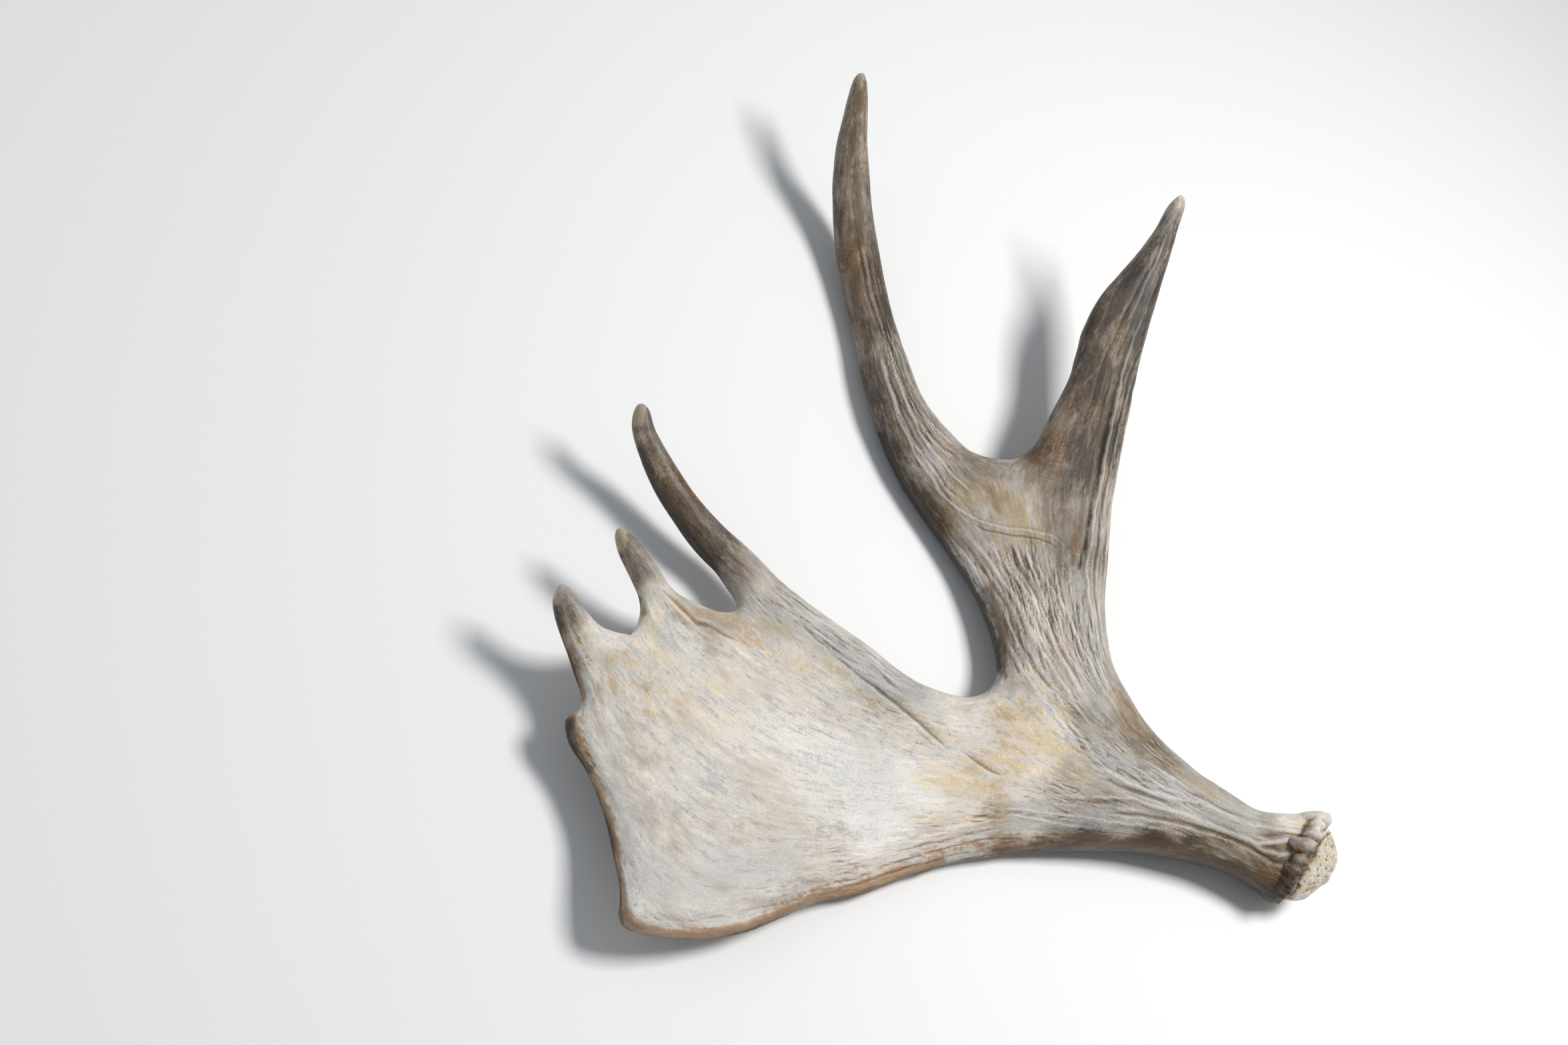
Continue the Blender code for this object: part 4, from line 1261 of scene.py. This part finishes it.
class BoneLook:
    """What the bone's colour and grain are mixed from: patterns, and what the mesh says of each place."""

    def __init__(self, board):
        scene = bpy.context.scene
        shape, finish = scene.antler_shape, scene.antler_finish
        self.board, self.finish = board, finish
        spot = board.node("ShaderNodeTexCoord", None, None, "Object")
        growth = Growth(board, spot)
        patch, streak = finish.patch_width / MM, finish.streak_width / MM
        self.clouds = growth.noise(finish.cloud_width / MM, 1.7, 3.0, 0.55, 1.3)
        self.patches = growth.noise(patch, 2.6, 5.0, 0.72, 9.7)
        self.others = growth.noise(patch * 0.8, 2.2, 5.0, 0.72, 17.1)
        self.streaks = growth.noise(streak, 8.0, 4.0, 0.65, 5.1)
        self.fibres = growth.noise(streak * 0.36, 9.0, 3.0, 0.65, 30.1)
        self.freckles = board.noise(spot, 4.0, 0.75, 1 / finish.freckle_width) - 0.5
        self.grain = board.noise(spot, 2.0, 0.7, 4 / finish.freckle_width) - 0.5
        self.lines = self.streaks * 0.7 + self.fibres * 0.9
        self.strokes = self.streaks * 0.9 + self.fibres * 0.5
        self.flecks = self.freckles + self.grain * 0.4 + self.fibres * 0.4
        self.pores = (self.fibres + self.grain * 0.8).between(0.18, 0.34)

        self.brown, self.evenly, self.hollow, self.pits, self.seal, self.worn = (
            board.attribute(name) for name in ("brown", "furrowed", "hollow", "pits", "seal", "worn"))
        self.honey, self.umber, self.dark = board.parts(board.attribute("stains", "FLOAT_VECTOR"))
        self.pale, self.grey, self.rust = board.parts(board.attribute("wear", "FLOAT_VECTOR"))
        # evenly is how furrowed a place is, and furrowed is the same with its patches
        self.mottled = self.brown.between(0.3, 0.75) - self.brown.between(0.95, 1.15)
        self.calm = 1.0 - self.brown.between(0.6, 1.0) * 0.65
        self.furrowed, self.crest, small, groove = growth.furrows(
            self.evenly, shape.furrow_width / MM, shape.furrow_length)
        # the furrows' grooves, where the colour is darkened as painted shade and the roughness rises
        self.shaded_grooves = ((1.0 - self.crest) * 0.3 + groove * 0.7 + (1.0 - small) * 0.15) * self.furrowed

    def colour(self, name):
        """One of the finish's colours."""
        return (*getattr(self.finish, name), 1.0)

    def over(self, bone, share, name, mode="MIX"):
        """The bone with a share, from 0 to 1, of one of the finish's colours over it."""
        return self.board.blend(share, bone, self.colour(name), mode)

    def palm(self):
        """Cream bone with warm, grey and bleached strokes and a few ochre flecks."""
        strokes, flecks = self.strokes, self.flecks
        warm = self.patches * 0.8 + strokes + flecks * 1.1 + self.clouds * 0.4
        grey = self.others - strokes * 0.8 - flecks * 0.3 - self.clouds * 0.5
        bleached = strokes * 0.9 - self.others * 0.6 - flecks * 0.3
        bone = self.over(self.colour("cream"), warm.between(0.0, 0.28) * 0.85, "peach")
        bone = self.over(bone, grey.between(0.0, 0.28) * 0.8, "ash")
        bone = self.over(bone, bleached.between(0.04, 0.22) * 0.65, "chalk")
        return self.over(bone, (flecks + self.patches * 0.6).between(0.12, 0.32) * 0.35, "ochre")

    def tines(self):
        """Umber bone mottled with slate and ochre."""
        cool = self.others + self.clouds * 1.2 + self.flecks * 0.3
        light = self.patches + self.flecks * 0.6 + self.streaks * 0.5 - self.clouds * 0.8
        bone = self.over(self.colour("umber"), cool.between(-0.1, 0.12), "slate")
        return self.over(bone, light.between(0.05, 0.25) * 0.8, "ochre")

    def toned(self):
        """From the palm's bone through stone and drab to the tines' and to black, by how brown it is."""
        tone = (self.brown + self.clouds * (self.mottled * 0.3 + 0.5)
                + self.patches * (self.mottled * 0.9 + 0.7) + self.flecks * 0.3
                + self.lines * (self.brown * 0.7 + 0.1))
        bone = self.over(self.palm(), tone.between(0.12, 0.4), "stone")
        bone = self.over(bone, tone.between(0.36, 0.68), "drab")
        bone = self.board.blend(tone.between(0.6, 0.95), bone, self.tines())
        return self.over(bone, tone.between(0.98, 1.35) * 0.9, "black")

    def tinted(self, bone):
        """The bone with warmer and cooler patches and streaks."""
        cast = self.others * 0.8 + self.clouds * 0.6 + self.streaks * 0.7 + self.flecks * 0.6
        share = self.brown.between(0.0, 0.4) * 0.4 + 0.35
        bone = self.over(bone, cast.between(0.0, 0.2) * share, "warm_cast", "MULTIPLY")
        return self.over(bone, (0.0 - cast).between(0.0, 0.2) * share, "cool_cast", "MULTIPLY")

    def stained(self, bone, amount, name, most, ragged, mode="MIX"):
        """The stain's colour, in flecks and blotches where it is thin and nearly whole where it is thick."""
        blotches = self.patches * 1.1 + self.freckles * 1.2 + self.strokes * 1.8
        reach = 0.08 + 0.2 * ragged
        share = (amount + blotches * ragged * (1.3 - amount)).between(0.5 - reach, 0.5 + reach)
        return self.over(bone, share * amount.between(0.03, 0.2) * most, name, mode)

    def core(self):
        """The crumbly bone of the seal: cream and yellow, with chalky and rusty crumbs."""
        patches, others, freckles = self.patches, self.others, self.freckles
        rusty = others + freckles - patches * 0.5
        bone = self.over(self.colour("cream"), (patches + freckles).between(-0.2, 0.1), "honey", "MULTIPLY")
        bone = self.over(bone, (freckles - others).between(0.0, 0.2) * 0.8, "chalk")
        return self.over(bone, rusty.between(0.02, 0.22) * 0.8, "rust", "MULTIPLY")

    def weathered(self, bone):
        """The bone with its stains and the painted shade and light among them, the seal, and its worn
        places.
        """
        bone = self.stained(bone, self.grey, "ash", 0.6, 1.0)
        bone = self.stained(bone, self.pale, "chalk", 0.6, 0.8)
        bone = self.stained(bone, self.honey, "honey", 0.9, 1.5, "MULTIPLY")
        specks = (self.flecks + self.others * 0.7).between(0.06, 0.3)
        bone = self.over(bone, self.honey.between(0.05, 0.5) * specks * 0.35, "ochre")
        bone = self.board.blend(self.seal, bone, self.core())
        bone = self.stained(bone, self.rust, "rust", 1.0, 0.9, "MULTIPLY")
        bone = self.stained(bone, self.umber, "umber", 0.8, 0.9)
        bone = self.stained(bone, self.dark, "black", 0.9, 0.7)
        return self.stained(bone, self.worn, "horn", 0.85, 0.5)

    def marked(self, bone):
        """The bone with painted shade in its furrow grooves and hollows, dark pores, rubbed crests, and its
        fine lights and darks.
        """
        stain = (self.dark + self.umber + self.rust).between(0.1, 0.7)
        rubbed = self.calm * (1.0 - stain * 0.9)
        raised = (self.crest * self.furrowed).between(0.3, 0.9)
        grooved = (0.0 - self.lines).between(0.06, 0.24)
        # painted shade in the furrows' grooves
        bone = self.over(bone, self.shaded_grooves.between(0.1, 0.8) * 0.7, "grime_and_shade", "MULTIPLY")
        bone = self.over(bone, raised * rubbed * 0.3, "ash")
        # painted shade: the colour darkens where the relief is hollow
        bone = self.over(bone, self.hollow.between(0.02, 0.2) * 0.75, "grime_and_shade", "MULTIPLY")
        bone = self.over(bone, (0.0 - self.hollow).between(0.03, 0.22) * rubbed * 0.35, "chalk")
        bone = self.over(bone, self.pits.between(0.2, 0.8) * 0.65, "ochre", "MULTIPLY")
        bone = self.over(bone, grooved * (self.furrowed * 0.85 + 0.08), "grime_and_shade", "MULTIPLY")
        bone = self.over(bone, self.pores * 0.6, "grime_and_shade", "MULTIPLY")
        fine = self.fibres * (self.furrowed * 0.8 + 0.5 + self.mottled * 0.4) + self.grain
        fine = fine + self.freckles * 0.7 + self.patches * 0.3
        stops = fine * (self.calm * 0.5 + 0.5) + self.streaks * (self.furrowed * 1.6 + 0.3)
        return self.board.scaled(bone, self.board.math("POWER", 2.0, stops))

    def roughness(self):
        """Dull on the palm and satin on brown, worn and rusty bone."""
        dull, satin = self.finish.dull, self.finish.satin
        smooth = (self.brown * 0.6 + self.worn + self.rust * 0.5).math("MINIMUM", 1.0)
        return dull - smooth * (dull - satin) + self.streaks * 0.12 + self.shaded_grooves * 0.12

    def relief(self):
        """The height of the finest fibres, grain and pores."""
        return (
            self.fibres * (self.evenly * 1.2 + 0.5 * self.calm)
            + self.streaks * (self.evenly + 0.2)
            + self.grain * (self.seal * 2.0 + 0.8) * self.calm
            - self.pores * 0.3
            - self.pits * 0.3
        )


def bone_material():
    """Dry antler: cream to brown bone with streaks along its growth, stains, painted shade in its furrows
    and hollows, and worn edges.
    """
    material = bpy.data.materials.new("Antler bone")
    material.use_nodes = True
    material.node_tree.nodes.clear()
    board = Board(material.node_tree)
    look = BoneLook(board)
    bone = look.marked(look.weathered(look.tinted(look.toned())))
    bump = board.node("ShaderNodeBump", None, {
        "Strength": look.finish.bump, "Distance": BUMP_DISTANCE, "Height": look.relief()})
    surface = board.node("ShaderNodeBsdfPrincipled", None, {
        "Base Color": bone, "Roughness": look.roughness(), "Normal": bump,
        "Specular IOR Level": BONE_SHINE})
    board.node("ShaderNodeOutputMaterial", None, {"Surface": surface})
    return material


def plain_material(name, colour, roughness):
    """A finish of one plain colour."""
    material = bpy.data.materials.new(name)
    material.use_nodes = True
    surface = material.node_tree.nodes["Principled BSDF"]
    surface.inputs["Base Color"].default_value = (*colour, 1.0)
    surface.inputs["Roughness"].default_value = roughness
    return material


def backdrop(radius, height):
    """A round floor that turns up into a backdrop, with its faces towards the middle."""
    swing = np.radians(np.linspace(0, 90, FLOOR_TURN_STEPS + 1)[1:])
    curve = [(0.0, 0.0), (radius, 0.0)]
    curve += [(radius + FLOOR_TURN * np.sin(a), FLOOR_TURN * (1 - np.cos(a))) for a in swing]
    curve += [(radius + FLOOR_TURN, height)]
    floor = bmesh.new()
    edge = [floor.verts.new((x, 0.0, z)) for x, z in curve]
    for first, second in zip(edge, edge[1:]):
        floor.edges.new((first, second))
    bmesh.ops.spin(floor, geom=floor.verts[:] + floor.edges[:], axis=(0, 0, 1), cent=(0, 0, 0),
                   angle=2 * np.pi, steps=FLOOR_SIDES, use_merge=True)
    bmesh.ops.remove_doubles(floor, verts=floor.verts, dist=1e-5)
    bmesh.ops.recalc_face_normals(floor, faces=floor.faces)
    bmesh.ops.reverse_faces(floor, faces=floor.faces)
    mesh = bpy.data.meshes.new("floor")
    floor.to_mesh(mesh)
    floor.free()
    mesh.shade_smooth()
    return mesh


def soft_light(name, power, size, tint, spot):
    """A square lamp that shines on the antler from a place of the drawing."""
    light = bpy.data.lights.new(name, "AREA")
    light.energy, light.size, light.color = power, size, tint
    lamp = new_object(name, light)
    lamp.location = resting_place() @ Vector(spot)
    lamp.rotation_euler = (-lamp.location).to_track_quat("-Z", "Y").to_euler()
    lamp.visible_camera = False


def even_light(strength):
    """The world's even light."""
    world = bpy.data.worlds.new("room light")
    world.use_nodes = True
    sky = world.node_tree.nodes["Background"]
    sky.inputs["Color"].default_value = ROOM_TINT
    sky.inputs["Strength"].default_value = strength
    return world


def viewing_camera(lens):
    """The camera, where the drawing's viewer is."""
    camera = bpy.data.cameras.new("camera")
    camera.lens, camera.sensor_width, camera.clip_end = lens, SENSOR_WIDTH, CAMERA_REACH
    place = resting_place()
    turned = place.to_3x3()
    turned.normalize()
    viewer = new_object("camera", camera)
    viewer.matrix_world = Matrix.Translation(place @ Vector((0, 0, VIEW_DISTANCE))) @ turned.to_4x4()
    return viewer


# Settings that the sidebar shows, each with its name, description and default, and its least and most


def colour_setting(name, description, default):
    return bpy.props.FloatVectorProperty(
        name=name, description=description, subtype="COLOR", default=default, min=0, max=1)


def length_setting(name, description, default, least, most):
    return bpy.props.FloatProperty(
        name=name, description=description, default=default, min=least, max=most, precision=5,
        unit="LENGTH")


def share_setting(name, description, default, least=0.0):
    return bpy.props.FloatProperty(
        name=name, description=description, default=default, min=least, max=1.0, subtype="FACTOR")


def number_setting(name, description, default, least, most):
    return bpy.props.FloatProperty(
        name=name, description=description, default=default, min=least, max=most)


class AntlerShape(bpy.types.PropertyGroup):
    """Sizes of the antler's surface."""

    skin_step: length_setting(
        "Skin step", "Spacing of the skin's points before the relief is raised", 0.001, 0.0006, 0.005)
    share_kept: share_setting(
        "Share kept", "Share of the skin's triangles that are kept, most where it is furrowed", 0.6, 0.05)
    furrow_depth: length_setting(
        "Furrow depth", "Depth of the long furrows where the bone is most furrowed", 0.0008, 0.0, 0.005)
    furrow_width: length_setting(
        "Furrow width", "Spacing of the long furrows across the growth", 0.0044, 0.001, 0.03)
    furrow_length: number_setting(
        "Furrow length", "How many times longer than wide a furrow is", 10.0, 1.0, 40.0)
    fine_furrows: length_setting(
        "Fine furrows", "Depth of the finer furrows between the long ones", 0.0004, 0.0, 0.002)
    swell_height: length_setting(
        "Swell height", "Height of the soft unevenness of the whole surface", 0.0022, 0.0, 0.01)
    swell_width: length_setting("Swell width", "Width of the soft unevenness", 0.034, 0.005, 0.1)
    sponge_depth: length_setting(
        "Sponge depth", "Depth of the pits in the seal and the heel", 0.0011, 0.0, 0.005)
    sponge_width: length_setting(
        "Sponge width", "Width of the pits in the seal and the heel", 0.0046, 0.001, 0.02)
    pearl_radius: length_setting(
        "Pearl radius", "Radius of a middling pearl of the burr", 0.0042, 0.001, 0.02)
    pearl_stretch: number_setting(
        "Pearl stretch", "How many times longer than wide a pearl is, along the beam", 1.9, 0.5, 4.0)
    pearl_unevenness: number_setting(
        "Pearl unevenness", "How lumpy the pearls are, as a share of their radius", 0.35, 0.0, 2.0)
    pearl_seed: bpy.props.IntProperty(
        name="Pearl seed", description="Picks another set of pearl sizes", default=3)


class AntlerFinish(bpy.types.PropertyGroup):
    """Colours and finish of the bone."""

    chalk: colour_setting("Chalk", "Bleached, brightest bone", (0.78, 0.77, 0.745))
    cream: colour_setting("Cream", "The palm's bone", (0.65, 0.605, 0.545))
    peach: colour_setting("Peach", "Warm patches and streaks in the palm", (0.60, 0.495, 0.40))
    ash: colour_setting("Ash", "Bluish grey clouds, and the grey of ridges", (0.45, 0.445, 0.44))
    honey: colour_setting(
        "Honey", "What the yellow patches at the forks are multiplied by", (0.97, 0.87, 0.66))
    stone: colour_setting(
        "Stone", "Greyish khaki bone between the palm and the beam", (0.39, 0.343, 0.295))
    drab: colour_setting("Drab", "Grey-brown bone of the beam and tines", (0.215, 0.178, 0.138))
    ochre: colour_setting("Ochre", "Light brown patches of the tines", (0.29, 0.205, 0.125))
    # umber also paints part of the shade under the beam
    umber: colour_setting("Umber", "Brown of the undersides and the tines", (0.10, 0.058, 0.030))
    slate: colour_setting("Slate", "Dark grey mottles of the tines", (0.070, 0.060, 0.052))
    # This colour deepens dark streaks and pores, and also paints shade into furrow grooves and hollows
    grime_and_shade: colour_setting("Grime", "How the colour deepens in furrows and pores", (0.42, 0.34, 0.25))
    warm_cast: colour_setting(
        "Warm cast", "What the warmer patches and streaks are multiplied by", (1.0, 0.87, 0.72))
    cool_cast: colour_setting(
        "Cool cast", "What the cooler patches and streaks are multiplied by", (0.86, 0.93, 1.0))
    rust: colour_setting("Rust", "What the orange-brown rims are multiplied by", (0.60, 0.42, 0.27))
    # black is also part of the painted shade under the beam and on left edges
    black: colour_setting("Black", "Nearly black outer rims and back edges", (0.032, 0.022, 0.015))
    horn: colour_setting("Horn", "Worn, polished tips", (0.43, 0.32, 0.20))
    cloud_width: length_setting("Cloud width", "Width of the widest changes of colour", 0.026, 0.001, 0.1)
    patch_width: length_setting("Patch width", "Width of the patches of colour", 0.0075, 0.001, 0.05)
    streak_width: length_setting(
        "Streak width", "Width of the streaks along the growth", 0.003, 0.0005, 0.02)
    freckle_width: length_setting("Freckle width", "Width of the largest freckles", 0.0036, 0.0002, 0.01)
    dull: share_setting("Dull", "Roughness of the palm", 0.62)
    satin: share_setting("Satin", "Roughness of the tines, tips and rims", 0.34)
    bump: share_setting("Bump", "Strength of the finest surface grain", 0.6)


class AntlerStudio(bpy.types.PropertyGroup):
    """The floor, the lights and the camera."""

    floor_colour: colour_setting("Floor", "The pale floor and backdrop", (0.84, 0.84, 0.84))
    floor_radius: length_setting(
        "Floor radius", "How far the flat floor reaches before it turns up", 3.2, 1.0, 20.0)
    backdrop_height: length_setting(
        "Backdrop height", "How high the backdrop rises round the floor", 3.0, 1.0, 20.0)
    key_power: bpy.props.FloatProperty(
        name="Key light", description="Power of the large light on the right", default=32.0, min=0.0,
        unit="POWER")
    key_size: length_setting(
        "Key size", "Width of the key light, which softens its shadows", 0.6, 0.01, 10.0)
    fill_power: bpy.props.FloatProperty(
        name="Fill light", description="Power of the light on the left", default=3.5, min=0.0, unit="POWER")
    fill_size: length_setting("Fill size", "Width of the light on the left", 1.2, 0.01, 10.0)
    room_light: bpy.props.FloatProperty(
        name="Room light", description="Strength of the even light from all round", default=0.3, min=0.0)
    lens: bpy.props.FloatProperty(
        name="Lens", description="The camera's focal length in millimetres", default=50.0, min=10.0)


class ANTLER_OT_pearls(bpy.types.Operator):
    """Sets the burr's pearls round the end of the beam"""

    bl_idname = "antler.pearls"
    bl_label = "Set Burr Pearls"

    def execute(self, context):
        shape = context.scene.antler_shape
        points = new_object("burr pearls", pearl_points(Sheet()))
        add_nodes(points, pearl_tree(), {
            "Pearl radius": shape.pearl_radius / MM, "Stretch": shape.pearl_stretch,
            "Unevenness": shape.pearl_unevenness, "Seed": shape.pearl_seed,
            "Material": bpy.data.materials.get("Antler bone") or bone_material()})
        applied(points)
        points.hide_render = True
        return {"FINISHED"}


class ANTLER_OT_grow(bpy.types.Operator):
    """Grows the antler and parts it at its main forks, where its pieces meet without a gap"""

    bl_idname = "antler.grow"
    bl_label = "Grow Antler"

    def execute(self, context):
        pearls = bpy.data.objects["burr pearls"]
        sheet = Sheet()
        antler = grown_body(sheet, pearls.data, context.scene.antler_shape.skin_step)
        bpy.data.objects.remove(pearls)
        dress(antler, sheet)
        antler.data.transform(resting_place())
        raise_relief(antler)
        pieces = without_cavities(sawn(antler))
        for node, spot in PIECES.items():
            piece = nearest(pieces, spot)
            pieces.remove(piece)
            piece.name = piece.data.name = f"grown_{node}"
            closed(piece)
            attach(piece, "root")
            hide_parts(node)
        return {"FINISHED"}


class ANTLER_OT_studio(bpy.types.Operator):
    """Lays the pale floor with its round backdrop, and sets the soft lights and the camera"""

    bl_idname = "antler.studio"
    bl_label = "Set Up Studio"

    def execute(self, context):
        studio = context.scene.antler_studio
        mesh = backdrop(studio.floor_radius, studio.backdrop_height)
        mesh.materials.append(plain_material("Pale floor", studio.floor_colour, FLOOR_ROUGHNESS))
        new_object("floor", mesh)
        soft_light("key light", studio.key_power, studio.key_size, KEY_TINT, KEY_PLACE)
        soft_light("fill light", studio.fill_power, studio.fill_size, FILL_TINT, FILL_PLACE)
        context.scene.world = even_light(studio.room_light)
        context.scene.camera = viewing_camera(studio.lens)
        context.scene.view_settings.view_transform = "Standard"
        return {"FINISHED"}


class ANTLER_PT_panel(bpy.types.Panel):
    """Lists the antler's steps and sizes"""

    bl_idname = "ANTLER_PT_panel"
    bl_label = "Moose Antler"
    bl_space_type = "VIEW_3D"
    bl_region_type = "UI"
    bl_category = "Antler"

    def draw(self, context):
        scene = context.scene
        groups = (
            (scene.antler_shape, (ANTLER_OT_pearls, ANTLER_OT_grow)),
            (scene.antler_finish, ()),
            (scene.antler_studio, (ANTLER_OT_studio,)),
        )
        for group, operators in groups:
            box = self.layout.box()
            for operator in operators:
                box.operator(operator.bl_idname)
            for name in group.__annotations__:
                box.prop(group, name)


GROUPS = {"antler_shape": AntlerShape, "antler_finish": AntlerFinish, "antler_studio": AntlerStudio}
CLASSES = (*GROUPS.values(), ANTLER_OT_pearls, ANTLER_OT_grow, ANTLER_OT_studio, ANTLER_PT_panel)


def register():
    for kind in CLASSES:
        bpy.utils.register_class(kind)
    for name, group in GROUPS.items():
        setattr(bpy.types.Scene, name, bpy.props.PointerProperty(type=group))


def unregister():
    for name in GROUPS:
        delattr(bpy.types.Scene, name)
    for kind in reversed(CLASSES):
        bpy.utils.unregister_class(kind)


def main():
    """Makes the antler and the studio."""
    register()
    bpy.ops.antler.pearls()
    bpy.ops.antler.grow()
    bpy.ops.antler.studio()


if __name__ == "__main__":
    main()
